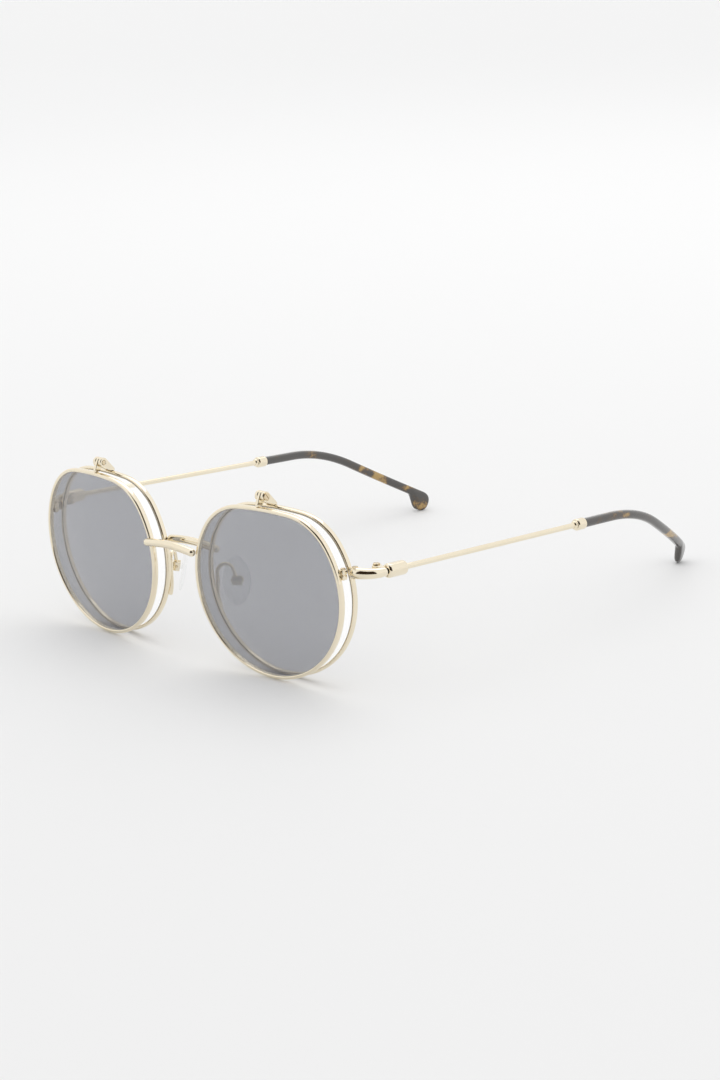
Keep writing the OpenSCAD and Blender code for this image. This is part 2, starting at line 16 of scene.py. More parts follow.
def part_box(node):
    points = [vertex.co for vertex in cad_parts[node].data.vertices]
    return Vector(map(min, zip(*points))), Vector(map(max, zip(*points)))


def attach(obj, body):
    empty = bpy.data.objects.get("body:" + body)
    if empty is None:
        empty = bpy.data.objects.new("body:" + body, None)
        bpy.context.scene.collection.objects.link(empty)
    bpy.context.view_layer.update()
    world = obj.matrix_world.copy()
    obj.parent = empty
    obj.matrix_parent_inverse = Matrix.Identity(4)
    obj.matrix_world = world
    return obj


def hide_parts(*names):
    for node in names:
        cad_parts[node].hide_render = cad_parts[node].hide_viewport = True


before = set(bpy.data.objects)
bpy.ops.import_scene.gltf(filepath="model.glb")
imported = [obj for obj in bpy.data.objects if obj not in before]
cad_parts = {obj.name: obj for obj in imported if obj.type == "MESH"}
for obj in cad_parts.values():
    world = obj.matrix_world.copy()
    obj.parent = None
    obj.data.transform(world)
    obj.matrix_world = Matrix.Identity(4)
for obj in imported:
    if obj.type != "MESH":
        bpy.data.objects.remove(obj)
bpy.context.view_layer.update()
MM, MERGE = 0.001, 0.5e-6
scene = bpy.context.scene

# %% [markdown]
# ## Sizes
# These are the sizes of the CAD source, in millimetres. Each lens outline is a
# circle with a flatter brow and two rounded corners between them. Its edge faces a
# different way at each point, so the angle that it faces is the best measure of
# where we are along it: every arc is then evenly smooth.

# %% Sizes of the fronts
EYE_RADIUS, BROW_HEIGHT, BROW_RADIUS, CORNER_RADIUS, BALL_RADIUS = 23.1, 19.9, 80.0, 15.0, 161.0
RIM_WIDTH, RIM_DEPTH, GROOVE, LENS_THICK, LENS_FREE = 1.0, 1.5, 0.45, 0.9, 0.03
WRAP, LEAN = radians(4.9), radians(1.9)
REACH = EYE_RADIUS + RIM_WIDTH
BROW_CENTRE = BROW_HEIGHT - BROW_RADIUS
CORNER_UP = ((BROW_CENTRE ** 2 - (BROW_RADIUS - CORNER_RADIUS) ** 2
              + (EYE_RADIUS - CORNER_RADIUS) ** 2) / (2 * BROW_CENTRE))
CORNER_ACROSS = sqrt((EYE_RADIUS - CORNER_RADIUS) ** 2 - CORNER_UP ** 2)
CORNER_TURN = pi / 2 - atan2(CORNER_UP, CORNER_ACROSS)
BROW_TURN = pi / 2 - atan2(CORNER_UP - BROW_CENTRE, CORNER_ACROSS)
LENS_GAP, FRONT_TO_REAR, FLIP_LIFT = 17.8, 4.6, 0.25
EYE_ACROSS = LENS_GAP / 2 + EYE_RADIUS


def bulge(u, w, deep=0.0):
    return BALL_RADIUS - sqrt((BALL_RADIUS - deep) ** 2 - u * u - w * w)


REAR_UP = REACH * cos(LEAN) - bulge(0, REACH) * sin(LEAN)
FLIP_UP = REAR_UP + FLIP_LIFT


def eye_point(u, w, v, forward, up):
    """A point of the left eye, v behind the ball that its front lies on, before centring."""
    y = (bulge(u, w) + v) * cos(LEAN) - w * sin(LEAN)
    z = (bulge(u, w) + v) * sin(LEAN) + w * cos(LEAN)
    return Vector((EYE_ACROSS + u * cos(WRAP) - y * sin(WRAP),
                   forward + u * sin(WRAP) + y * cos(WRAP), up + z))


def on_flip(u, w, v):
    return eye_point(u, w, v, 0.0, FLIP_UP)


def on_rear(u, w, v):
    return eye_point(u, w, v, FRONT_TO_REAR, REAR_UP)


HINGE_U, PIN_LIFT, FLIP_KNUCKLE, KNUCKLE_LONG = -1.3, 2.5, 1.3, 0.95
flip_brow = on_flip(HINGE_U, BROW_HEIGHT + RIM_WIDTH, 0)
rear_brow = on_rear(HINGE_U, BROW_HEIGHT + RIM_WIDTH, 0)
PIN = Vector((EYE_ACROSS + HINGE_U, flip_brow.y + FRONT_TO_REAR / 2, flip_brow.z + PIN_LIFT))
low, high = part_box("flip_pin_left")
CENTRE_Y = PIN.y - (low.y + high.y) / 2 / MM
print("the origin lies", round(CENTRE_Y, 3), "mm behind the front; hinge pin at", PIN)

# %% [markdown]
# ## Nodes as arithmetic
# A node tree is maths drawn as boxes. Written out by hand each box takes several
# lines, so this small class wraps a socket and lets Python's own operators add the
# boxes: `1 - mask` makes a Subtract node. Everything else comes from one method,
# which sets a node's settings first, because they decide which sockets it has.

# %% The node writer
class Value:
    """A number travelling through a node tree."""

    def __init__(self, nodes, socket):
        self.nodes, self.socket = nodes, socket

    def __add__(self, other):
        return self.nodes.maths("ADD", self, other)

    __radd__ = __add__

    def __sub__(self, other):
        return self.nodes.maths("SUBTRACT", self, other)

    def __rsub__(self, other):
        return self.nodes.maths("SUBTRACT", other, self)

    def __mul__(self, other):
        return self.nodes.maths("MULTIPLY", self, other)

    __rmul__ = __mul__

    def __truediv__(self, other):
        return self.nodes.maths("DIVIDE", self, other)

    def __rtruediv__(self, other):
        return self.nodes.maths("DIVIDE", other, self)

    def __pow__(self, other):
        return self.nodes.maths("POWER", self, other)


class Nodes:
    """Adds nodes to one tree."""

    def __init__(self, tree):
        self.tree = tree

    def add(self, kind, settings=None, sockets=None, out=None):
        node = self.tree.nodes.new(kind)
        for key, value in (settings or {}).items():
            if key == "stops":
                ramp = node.color_ramp
                while len(ramp.elements) < len(value):
                    ramp.elements.new(0.5)
                for stop, (place, colour) in zip(ramp.elements, value):
                    stop.position, stop.color = place, (*colour, 1.0)
            else:
                setattr(node, key, value)
        for key, value in (sockets or {}).items():
            into = node.inputs[key] if isinstance(key, int) else next(
                s for s in node.inputs if s.name == key and s.enabled)
            if isinstance(value, Value):
                self.tree.links.new(value.socket, into)
            else:
                into.default_value = value
        return Value(self, next(s for s in node.outputs if s.enabled and out in (None, s.name)))

    def maths(self, operation, *terms):
        return self.add("ShaderNodeMath", {"operation": operation}, dict(enumerate(terms)))

    def vectors(self, operation, *terms):
        return self.add("ShaderNodeVectorMath", {"operation": operation}, dict(enumerate(terms)))

    def axis(self, vector, name):
        return self.add("ShaderNodeSeparateXYZ", {}, {"Vector": vector}, name)


# %% [markdown]
# ## Running a tree on a mesh
# A Geometry Nodes tree is a recipe with named inputs. Here each recipe ends in
# Realize Instances and Set Material, is run once, and its result becomes a plain
# mesh. A mirrored mesh is inside out, so each mesh has its doubles merged first and
# its faces turned outwards after that; the enclosed volume tells that it worked.

# %% Trees, meshes and pieces
def new_tree(name, sizes):
    tree = bpy.data.node_groups.new(name, "GeometryNodeTree")
    tree.interface.new_socket("Made", in_out="OUTPUT", socket_type="NodeSocketGeometry")
    tree.interface.new_socket("Given", in_out="INPUT", socket_type="NodeSocketGeometry")
    for label, kind in sizes.items():
        tree.interface.new_socket(label, in_out="INPUT", socket_type="NodeSocket" + kind)
    nodes = Nodes(tree)
    given = tree.nodes.new("NodeGroupInput")
    return nodes, {s.name: Value(nodes, s) for s in given.outputs if s.name}


def end_tree(nodes, shape, finish):
    real = nodes.add("GeometryNodeRealizeInstances", {}, {"Geometry": shape})
    coated = nodes.add("GeometryNodeSetMaterial", {}, {"Geometry": real, "Material": finish})
    made = nodes.tree.nodes.new("NodeGroupOutput")
    nodes.tree.links.new(coated.socket, made.inputs[0])
    return nodes.tree


def grown(name, tree, sizes, start=None):
    """Runs a tree once and returns the plain mesh that it makes."""
    holder = bpy.data.objects.new(name, start or bpy.data.meshes.new(name))
    scene.collection.objects.link(holder)
    live = holder.modifiers.new(name, "NODES")
    live.node_group = tree
    for item in tree.interface.items_tree:
        if item.in_out == "INPUT" and item.name in sizes:
            live[item.identifier] = sizes[item.name]
    graph = bpy.context.evaluated_depsgraph_get()
    mesh = bpy.data.meshes.new_from_object(holder.evaluated_get(graph))
    bpy.data.objects.remove(holder)
    return mesh


def closed(mesh, sharp=None, mirrored=False):
    """Merges doubles, turns the faces outwards and smooths them, up to a sharp angle if one is given."""
    work = bmesh.new()
    work.from_mesh(mesh)
    if mirrored:
        bmesh.ops.scale(work, vec=(-1, 1, 1), verts=work.verts)
    bmesh.ops.remove_doubles(work, verts=work.verts, dist=MERGE)
    bmesh.ops.dissolve_degenerate(work, edges=work.edges, dist=0.2e-6)
    bmesh.ops.recalc_face_normals(work, faces=work.faces)
    if work.calc_volume(signed=True) < 0:
        bmesh.ops.reverse_faces(work, faces=work.faces)
    open_edges = sum(not e.is_manifold for e in work.edges)
    made = bpy.data.meshes.new(mesh.name)
    work.to_mesh(made)
    work.free()
    for finish in mesh.materials:
        made.materials.append(finish)
    made.shade_smooth()
    if sharp:
        made.set_sharp_from_angle(angle=radians(sharp))
    return made, open_edges


def piece(name, mesh, finish, body, nodes, sharp=None, mirrored=False):
    """Makes a finished piece, hands it to its body and hides the CAD nodes that it stands for."""
    made, open_edges = closed(mesh, sharp, mirrored)
    made.materials.clear()
    made.materials.append(finish)
    thing = bpy.data.objects.new(name, made)
    scene.collection.objects.link(thing)
    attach(thing, body)
    if nodes:
        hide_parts(*nodes)
    print(f"{name}: {len(made.polygons)} faces, {open_edges} open edges")
    return thing


def pair(name, mesh, finish, body, nodes=(), sharp=None):
    """Makes the left piece and its mirror image. A * stands for left or right."""
    return [piece(name.replace("*", side), mesh, finish, body.replace("*", side),
                  [n.replace("*", side) for n in nodes], sharp, mirrored=side == "right")
            for side in ("left", "right")]


def joined(name, meshes):
    """One mesh of several."""
    work = bmesh.new()
    for mesh in meshes:
        work.from_mesh(mesh)
    made = bpy.data.meshes.new(name)
    work.to_mesh(made)
    work.free()
    return made


# %% [markdown]
# ## The metal
# The frame is a nickel alloy, plated in a pale gold and polished until it mirrors
# the room. Most of its look is what it reflects: white walls with a thin dark line
# where the wire curves past the darker side of the studio. The shader is a metal
# with the plating's colour, drifting a little over the surface as real plating
# does, and hair-fine polishing marks that only show close up.

# %% Plated gold and screw metal
def new_finish(name):
    finish = bpy.data.materials.new(name)
    finish.use_nodes = True
    finish.node_tree.nodes.clear()
    nodes = Nodes(finish.node_tree)
    spot = nodes.add("ShaderNodeTexCoord", {}, {}, "Object")
    return finish, nodes, spot


def end_finish(nodes, surface):
    out = nodes.tree.nodes.new("ShaderNodeOutputMaterial")
    nodes.tree.links.new(surface.socket, out.inputs["Surface"])


def colour_mix(nodes, factor, a, b, blend="MIX"):
    return nodes.add("ShaderNodeMix", {"data_type": "RGBA", "blend_type": blend},
                     {"Factor": factor, "A": a, "B": b})


def noise(nodes, where, scale, detail=3.0, stretch=None, rough=0.5):
    if stretch:
        where = nodes.add("ShaderNodeMapping", {}, {"Vector": where, "Scale": stretch})
    return nodes.add("ShaderNodeTexNoise", {}, {"Vector": where, "Scale": scale, "Detail": detail,
                                                "Roughness": rough})


def polished(name, pale, deep, rough, marks):
    finish, n, spot = new_finish(name)
    drift = noise(n, spot, 90.0, 2.0)
    haze = noise(n, spot, 600.0, 4.0, rough=0.65)
    lines = noise(n, spot, 2500.0, 3.0, stretch=(1.0, 0.16, 1.0))
    colour = colour_mix(n, drift, (*deep, 1.0), (*pale, 1.0))
    bump = n.add("ShaderNodeBump", {}, {"Strength": marks, "Distance": 0.00002, "Height": lines})
    end_finish(n, n.add("ShaderNodeBsdfPrincipled", {}, {
        "Base Color": colour, "Metallic": 1.0, "Roughness": rough + 0.08 * haze, "Normal": bump}))
    return finish


GOLD = polished("pale gold plating", (0.93, 0.85, 0.69), (0.87, 0.77, 0.58), 0.06, 0.10)
SCREW = polished("screw metal", (0.86, 0.75, 0.55), (0.74, 0.60, 0.40), 0.16, 0.25)

# %% [markdown]
# ## Lenses and pads
# The clear lenses are seen only by what they mirror, so theirs is a faint mirror
# over clear air. They also give off a little white light of their own, which
# stands for the bright sheen of coated glass in a white room. The tinted pair lets
# through about three tenths of the light, in a cool grey. Both surfaces of a lens
# share that work, so each takes its part of the tint. The nose pads are soft clear
# silicone: see-through, with a milky core.

# %% Lens and pad finishes
def see_through(name, colour, solid, rough, ior, smear=0.02, sheen=0.0):
    finish, n, spot = new_finish(name)
    film = noise(n, spot, 160.0, 4.0, rough=0.6)
    tone = colour_mix(n, film, (*colour, 1.0), (*[c * 0.93 for c in colour], 1.0))
    end_finish(n, n.add("ShaderNodeBsdfPrincipled", {}, {
        "Base Color": tone, "Roughness": rough + smear * film, "IOR": ior, "Alpha": solid,
        "Emission Color": (1.0, 1.0, 1.0, 1.0), "Emission Strength": sheen}))
    return finish


CLEAR = see_through("clear lens", (1.0, 1.0, 1.0), 0.07, 0.01, 1.6, 0.02, 1.2)
TINTED = see_through("grey tinted lens", (0.055, 0.066, 0.105), 0.455, 0.015, 1.9)
SILICONE = see_through("clear silicone", (0.95, 0.96, 0.96), 0.10, 0.12, 1.5, 0.1)

# %% [markdown]
# ## Tortoiseshell
# The tips are cellulose acetate: clouds of amber in smoky brown, all through
# the sheet it was cut from. A broad noise decides where the amber shows, a second
# and finer one breaks up its edges, and a slow one darkens whole stretches. Because
# the pattern fills space, the cut ends match the sides without any unwrapping. A
# clear coat gives the tumbled gloss.

# %% Tortoiseshell acetate
def tortoise():
    finish, n, spot = new_finish("tortoiseshell acetate")
    clouds = noise(n, spot, 190.0, 5.0, stretch=(1.0, 0.55, 0.8), rough=0.62)
    broad = noise(n, spot, 45.0, 1.0)
    fine = noise(n, spot, 1500.0, 4.0)
    amber = n.add("ShaderNodeMapRange", {"interpolation_type": "SMOOTHSTEP"},
                  {"Value": clouds + 0.5 * broad + 0.06 * fine, "From Min": 0.74, "From Max": 0.92})
    body = n.add("ShaderNodeValToRGB", {"stops": [
        (0.0, (0.060, 0.055, 0.050)), (0.45, (0.085, 0.060, 0.038)), (0.75, (0.24, 0.145, 0.050)),
        (1.0, (0.42, 0.27, 0.085))]}, {0: amber})
    bump = n.add("ShaderNodeBump", {}, {"Strength": 0.08, "Distance": 0.00003, "Height": fine})
    end_finish(n, n.add("ShaderNodeBsdfPrincipled", {}, {
        "Base Color": body, "Roughness": 0.16 + 0.1 * clouds, "IOR": 1.5, "Coat Weight": 0.7,
        "Coat Roughness": 0.05, "Normal": bump}))
    return finish


TORTOISE = tortoise()

# %% [markdown]
# ## The four rims
# Each rim is one drawn wire with a groove for the lens, bent round the lens and
# soldered shut. Its shape follows a rule, so a tree makes it: a flat grid whose
# long way runs round the lens and whose short way runs round the wire. The wire's
# section is a superellipse, flat-sided with soft corners, and the whole ring is
# laid on a ball, because spectacle fronts are bent to a base curve.

# %% Rim tree
EYE_SIZES = {"Eye radius": EYE_RADIUS, "Brow radius": BROW_RADIUS, "Corner radius": CORNER_RADIUS,
             "Brow centre": BROW_CENTRE, "Corner up": CORNER_UP, "Corner across": CORNER_ACROSS,
             "Brow turn": BROW_TURN, "Corner turn": CORNER_TURN, "Ball radius": BALL_RADIUS,
             "Wrap": WRAP, "Lean": LEAN}
EYE_KINDS = {**{label: "Float" for label in EYE_SIZES}, "Place": "Vector", "Steps round": "Int",
             "Finish": "Material"}


def eye_outline(n, size, turn, grow):
    """Across and up, where the outline's edge faces turn away from straight up."""
    away = n.maths("ABSOLUTE", turn)
    brow = n.maths("LESS_THAN", away, size["Brow turn"])
    corner = n.maths("LESS_THAN", away, size["Corner turn"]) - brow
    below = 1 - brow - corner
    reach = (grow + brow * size["Brow radius"] + corner * size["Corner radius"]
             + below * size["Eye radius"])
    across = corner * size["Corner across"] + reach * n.maths("SINE", away)
    up = (brow * size["Brow centre"] + corner * size["Corner up"]
          + reach * n.maths("COSINE", away))
    return n.maths("SIGN", turn) * across, up


def eye_place(n, size, across, deep, up):
    """Lays a point on the ball, deep behind its front, and turns it into place, in metres."""
    inner = size["Ball radius"] - deep
    flat = inner * inner - across * across - up * up
    back = size["Ball radius"] - n.maths("SQRT", flat)
    point = n.add("ShaderNodeCombineXYZ", {}, {"X": across, "Y": back, "Z": up})
    for axis, angle in (("X_AXIS", "Lean"), ("Z_AXIS", "Wrap")):
        point = n.add("ShaderNodeVectorRotate", {"rotation_type": axis},
                      {"Vector": point, "Angle": size[angle]})
    return n.vectors("MULTIPLY", n.vectors("ADD", point, size["Place"]), (MM, MM, MM))


def grid(n, round_count, section_count):
    """A flat grid. Its two coordinates run from 0 to 1."""
    flat = n.add("GeometryNodeMeshGrid", {}, {"Size X": 1.0, "Size Y": 1.0,
                                              "Vertices X": round_count, "Vertices Y": section_count})
    here = n.add("GeometryNodeInputPosition")
    return flat, n.axis(here, "X") + 0.5, n.axis(here, "Y") + 0.5


def signed_power(n, value, power):
    return n.maths("SIGN", value) * n.maths("ABSOLUTE", value) ** power


def shaped(n, flat, position, finish):
    moved = n.add("GeometryNodeSetPosition", {}, {"Geometry": flat, "Position": position})
    sewn = n.add("GeometryNodeMergeByDistance", {}, {"Geometry": moved, "Distance": MERGE})
    return end_tree(n, sewn, finish)


def rim_tree():
    n, size = new_tree("rim wire", {**EYE_KINDS, "Width": "Float", "Depth": "Float",
                                    "Squareness": "Float"})
    flat, along, round_wire = grid(n, size["Steps round"], 33)
    turn = (along - 0.5) * (2 * pi)
    angle = round_wire * (2 * pi)
    power = 2 / size["Squareness"]
    grow = size["Width"] * (0.5 + 0.5 * signed_power(n, n.maths("COSINE", angle), power))
    deep = size["Depth"] * (0.5 + 0.5 * signed_power(n, n.maths("SINE", angle), power))
    across, up = eye_outline(n, size, turn, grow)
    return shaped(n, flat, eye_place(n, size, across, deep, up), size["Finish"])


RIM_TREE = rim_tree()
FLIP_PLACE = (EYE_ACROSS, -CENTRE_Y, FLIP_UP)
REAR_PLACE = (EYE_ACROSS, FRONT_TO_REAR - CENTRE_Y, REAR_UP)
for front, place, body in (("flip", FLIP_PLACE, "flip_front"), ("rear", REAR_PLACE, "frame")):
    rim = grown("rim", RIM_TREE, {**EYE_SIZES, "Place": place, "Steps round": 289, "Width": RIM_WIDTH,
                                  "Depth": RIM_DEPTH, "Squareness": 3.0, "Finish": GOLD})
    pair(f"{front}_rim_wire_*", rim, GOLD, body, [f"{front}_rim_*"])

# %% [markdown]
# ## The lenses
# A lens is a thin slice of a ball's shell, cut to the same outline and ground to a
# blunt ridge that sits in the rim's groove. The same grid idea works: the long way
# runs round the lens, the short way from the middle of its front, over the edge, to
# the middle of its back. Both middles close where their points are merged.

# %% Lens tree
def lens_tree():
    n, size = new_tree("lens", {**EYE_KINDS, "Edge": "Float", "Lip": "Float", "Thickness": "Float",
                                "Ridge": "Float", "Rings": "Int"})
    rings = size["Rings"]
    flat, along, through = grid(n, size["Steps round"], rings * 2 + 4)
    step = through * (rings * 2 + 3)
    inward = n.maths("MINIMUM", step, rings * 2 + 3 - step)
    share = n.maths("MINIMUM", inward / rings, 1.0)
    behind = n.add("ShaderNodeClamp", {}, {"Value": (step - rings) / 3, "Min": 0.0, "Max": 1.0})
    grow = size["Edge"] - size["Ridge"] * n.maths("ABSOLUTE", behind * 2 - 1)
    across, up = eye_outline(n, size, (along - 0.5) * (2 * pi), grow)
    deep = size["Lip"] + size["Thickness"] * behind
    return shaped(n, flat, eye_place(n, size, across * share, deep, up * share), size["Finish"])


LENS_TREE = lens_tree()
for front, place, body, finish, slot in (("tinted", FLIP_PLACE, "flip_front", TINTED, "tinted_lens"),
                                         ("clear", REAR_PLACE, "frame", CLEAR, "clear_lens")):
    lens = grown("lens", LENS_TREE, {
        **EYE_SIZES, "Place": place, "Steps round": 193, "Rings": 9, "Edge": GROOVE - LENS_FREE,
        "Lip": (RIM_DEPTH - LENS_THICK) / 2, "Thickness": LENS_THICK, "Ridge": 0.2, "Finish": finish})
    pair(f"{front}_lens_glass_*", lens, finish, body, [f"{front}_lens_*"], sharp=35)

# %% [markdown]
# ## Bars, arms and tips
# Bridges, end pieces, pad arms, temples and tips are all lengths of wire or rod
# that bend, taper and end in a rounded nose. One tree sweeps a section along any
# path. The path is a chain of points, and each point carries two directions across
# the wire and the half size in each. A taper, a bead or a flattened end is then
# only a change of half sizes, and a half size of nought closes the end.

# %% Sweep tree
def sweep_tree():
    n, size = new_tree("swept wire", {"Stops": "Int", "Sides": "Int", "Squareness": "Float",
                                      "Finish": "Material"})
    flat, along, round_wire = grid(n, size["Stops"], size["Sides"] + 1)
    stop = n.maths("ROUND", along * (size["Stops"] - 1))

    def at_stop(name, kind):
        value = n.add("GeometryNodeInputNamedAttribute", {"data_type": kind}, {"Name": name})
        return n.add("GeometryNodeSampleIndex", {"data_type": kind, "domain": "POINT"},
                     {"Geometry": size["Given"], "Value": value, "Index": stop})

    angle = round_wire * (2 * pi)
    power = 2 / size["Squareness"]
    point = at_stop("centre", "FLOAT_VECTOR")
    for way, half, wave in (("side", "half_side", "COSINE"), ("up", "half_up", "SINE")):
        far = at_stop(half, "FLOAT") * signed_power(n, n.maths(wave, angle), power)
        arm = n.add("ShaderNodeVectorMath", {"operation": "SCALE"},
                    {"Vector": at_stop(way, "FLOAT_VECTOR"), "Scale": far})
        point = n.vectors("ADD", point, arm)
    return shaped(n, flat, point, size["Finish"])


SWEEP_TREE = sweep_tree()


def swept(points, across, half_side, half_up, sides=24, square=2.0, headings=None):
    """Sweeps a section along points, in mm. across is roughly the section's side direction."""
    count = len(points)
    centre = np.array([tuple(p) for p in points], float)
    ahead = np.gradient(centre, axis=0) if headings is None else np.array(headings, float)
    for k in range(count):
        if np.linalg.norm(ahead[k]) < 1e-9:
            ahead[k] = ahead[k - 1]
    ahead /= np.linalg.norm(ahead, axis=1)[:, None]
    side = np.empty_like(centre)
    last = np.array(tuple(across), float)
    for k in range(count):
        last = last - ahead[k] * (last @ ahead[k])
        last = last / np.linalg.norm(last)
        side[k] = last
    up = np.cross(ahead, side)
    path = bpy.data.meshes.new("path")
    path.from_pydata((centre * MM).tolist(), [(k, k + 1) for k in range(count - 1)], [])
    for name, values in (("centre", centre * MM), ("side", side), ("up", up)):
        path.attributes.new(name, "FLOAT_VECTOR", "POINT").data.foreach_set("vector", values.ravel())
    for name, values in (("half_side", half_side), ("half_up", half_up)):
        spread = np.broadcast_to(np.array(values, float), (count,)) * MM
        path.attributes.new(name, "FLOAT", "POINT").data.foreach_set("value", spread.copy())
    return grown("swept", SWEEP_TREE, {"Stops": count, "Sides": sides, "Squareness": square,
                                       "Finish": GOLD}, path)


def eased(length, radius, ease, back=None, bulk=12, steps=6):
    """Distances along a rod and its radius there, with rounded ends."""
    back = ease if back is None else back
    turn = [pi / 2 * k / steps for k in range(steps + 1)]
    front_end = [(ease * (1 - cos(t)), radius - ease * (1 - sin(t))) for t in turn]
    rear_end = [(length - back * (1 - cos(t)), radius - back * (1 - sin(t))) for t in reversed(turn)]
    middle = [(ease + (length - ease - back) * k / bulk, radius) for k in range(1, bulk)]
    return [(0.0, 0.0), *front_end, *middle, *rear_end, (length, 0.0)]


def rod(start, heading, profile, across=(1, 0, 0), sides=24, square=2.0):
    """A straight turned part: profile gives distance along and radius."""
    start, heading = Vector(start), Vector(heading).normalized()
    spread = np.array([[s] for s, r in profile]) * np.array(heading) + np.array(start)
    nudge = np.arange(len(profile))[:, None] * 1e-7 * np.array(heading)
    return swept(spread + nudge, across, [r for s, r in profile], [r for s, r in profile], sides, square)


def row_frame(x, y, z):
    return Vector((x, y - CENTRE_Y, z))


# %% [markdown]
# ## The two bridges
# Each front has its own bar across the nose, arched a little upwards. The front bar
# lies over the faces of the tinted rims. The rear one is soldered behind its rims,
# where it is hidden from the front.

# %% Bridge bars
BRIDGE, ARCH = 1.05, 60.0
FLIP_BAR_RISE, FLIP_BAR_SHORT, FLIP_BAR_GAP = 6.0, 0.2, 0.1
REAR_BAR_RISE, REAR_BAR_LAP, REAR_BAR_GAP = 5.4, 0.2, 0.05


def bridge_bar(half, height, y):
    spread = asin(half / ARCH)
    tip = BRIDGE / ARCH
    turns = list(np.linspace(-spread, spread, 49))
    nose = [(-spread - tip * cos(t), sin(t)) for t in np.linspace(0, pi / 2, 9)[:-1]]
    stops = nose + [(t, 1.0) for t in turns] + [(-a, s) for a, s in reversed(nose)]
    points = [row_frame(ARCH * sin(a), y, height + ARCH * (cos(a) - cos(spread))) for a, s in stops]
    sizes = [BRIDGE * s for a, s in stops]
    return swept(points, (0, 1, 0), sizes, sizes)


flip_edge = on_flip(-sqrt(REACH ** 2 - FLIP_BAR_RISE ** 2), FLIP_BAR_RISE, 0)
rear_edge = on_rear(-sqrt(REACH ** 2 - REAR_BAR_RISE ** 2), REAR_BAR_RISE, RIM_DEPTH)
flip_bar_y = on_flip(-REACH, FLIP_BAR_RISE, 0).y - BRIDGE - FLIP_BAR_GAP
rear_bar_y = on_rear(-REACH, REAR_BAR_RISE, RIM_DEPTH).y + BRIDGE + REAR_BAR_GAP
flip_bar = bridge_bar(flip_edge.x - FLIP_BAR_SHORT, FLIP_UP + FLIP_BAR_RISE, flip_bar_y)
piece("flip_bridge_bar", flip_bar, GOLD, "flip_front", ["flip_bridge"])
rear_bar = bridge_bar(rear_edge.x + REAR_BAR_LAP, REAR_UP + REAR_BAR_RISE, rear_bar_y)
piece("rear_bridge_bar", rear_bar, GOLD, "frame", ["rear_bridge"])

# %% [markdown]
# ## Knuckles
# A hinge knuckle is a barrel with a tail that ties it to its wire. Seen along the
# pin it is a star shape round the pin's hole, so it is built in rings: outline and
# hole on both faces, with a small bevel between face and wall to catch the light.

# %% Knuckle plates
def hull(points):
    """Convex outline round points, anticlockwise."""
    points = sorted(set((round(x, 6), round(y, 6)) for x, y in points))

    def half_hull(order):
        kept = []
        for p in order:
            while len(kept) > 1 and ((kept[-1][0] - kept[-2][0]) * (p[1] - kept[-2][1])
                                     - (kept[-1][1] - kept[-2][1]) * (p[0] - kept[-2][0])) <= 0:
                kept.pop()
            kept.append(p)
        return kept[:-1]

    return half_hull(points) + half_hull(points[::-1])


def reach_at(outline, angle):
    """How far the outline is from the origin in a direction."""
    dx, dy = cos(angle), sin(angle)
    far = 0.0
    for (ax, ay), (bx, by) in zip(outline, outline[1:] + outline[:1]):
        ex, ey = bx - ax, by - ay
        cross = dx * ey - dy * ex
        if abs(cross) > 1e-9:
            t, s = (ax * ey - ay * ex) / cross, (ax * dy - ay * dx) / cross
            if t > 0 and -1e-6 <= s <= 1 + 1e-6:
                far = max(far, t)
    return far


def knuckle(centre, ways, radius, tail, hole, span, bevel=0.12):
    """A barrel with a tail. ways are the two directions of its face and the pin's, span its ends."""
    barrel = [(radius * cos(2 * pi * k / 48), radius * sin(2 * pi * k / 48)) for k in range(48)]
    outline = hull(barrel + list(tail))
    angles = sorted({round(atan2(y, x), 5) for x, y in outline}
                    | {round(2 * pi * k / 60 - pi, 5) for k in range(60)})
    lo, hi = span
    verts, faces = [], []
    first, second, pin = (Vector(w) for w in ways)
    for angle in angles:
        far = reach_at(outline, angle)
        ring = [(far, lo + bevel), (far, hi - bevel), (far - bevel, hi), (hole + bevel * 0.6, hi),
                (hole, hi - bevel * 0.6), (hole, lo + bevel * 0.6), (hole + bevel * 0.6, lo),
                (far - bevel, lo)]
        verts += [(Vector(centre) + (first * cos(angle) + second * sin(angle)) * r + pin * p) * MM
                  for r, p in ring]
    count, wide = len(angles), len(ring)
    for k in range(count):
        for j in range(wide):
            a, b = k * wide, (k + 1) % count * wide
            faces.append((a + j, a + (j + 1) % wide, b + (j + 1) % wide, b + j))
    mesh = bpy.data.meshes.new("knuckle")
    mesh.from_pydata([tuple(v) for v in verts], [], faces)
    return mesh


def block(outline, ways, centre, span, bevel=0.15, segments=3):
    """A bevelled solid with the given outline, in mm along the first two ways."""
    first, second, third = (Vector(w) for w in ways)
    work = bmesh.new()
    for depth in span:
        for x, y in outline:
            work.verts.new((Vector(centre) + first * x + second * y + third * depth) * MM)
    work.verts.ensure_lookup_table()
    count = len(outline)
    work.faces.new([work.verts[k] for k in range(count)])
    work.faces.new([work.verts[2 * count - 1 - k] for k in range(count)])
    for k in range(count):
        j = (k + 1) % count
        work.faces.new([work.verts[i] for i in (k, k + count, j + count, j)])
    bmesh.ops.recalc_face_normals(work, faces=work.faces)
    sharp = [e for e in work.edges if e.calc_face_angle(0) > radians(25)]
    bmesh.ops.bevel(work, geom=sharp, offset=bevel * MM, segments=segments, profile=0.5,
                    affect="EDGES", clamp_overlap=True)
    mesh = bpy.data.meshes.new("block")
    work.to_mesh(mesh)
    work.free()
    return mesh


# %% [markdown]
# ## The flip hinges
# Above each brow a tiny barrel of three knuckles lets the tinted front swing up.
# Two ears stand on the rear rim, and the knuckle between them belongs to the
# tinted front. Its foot comes down in front of the pin to the flip rim.

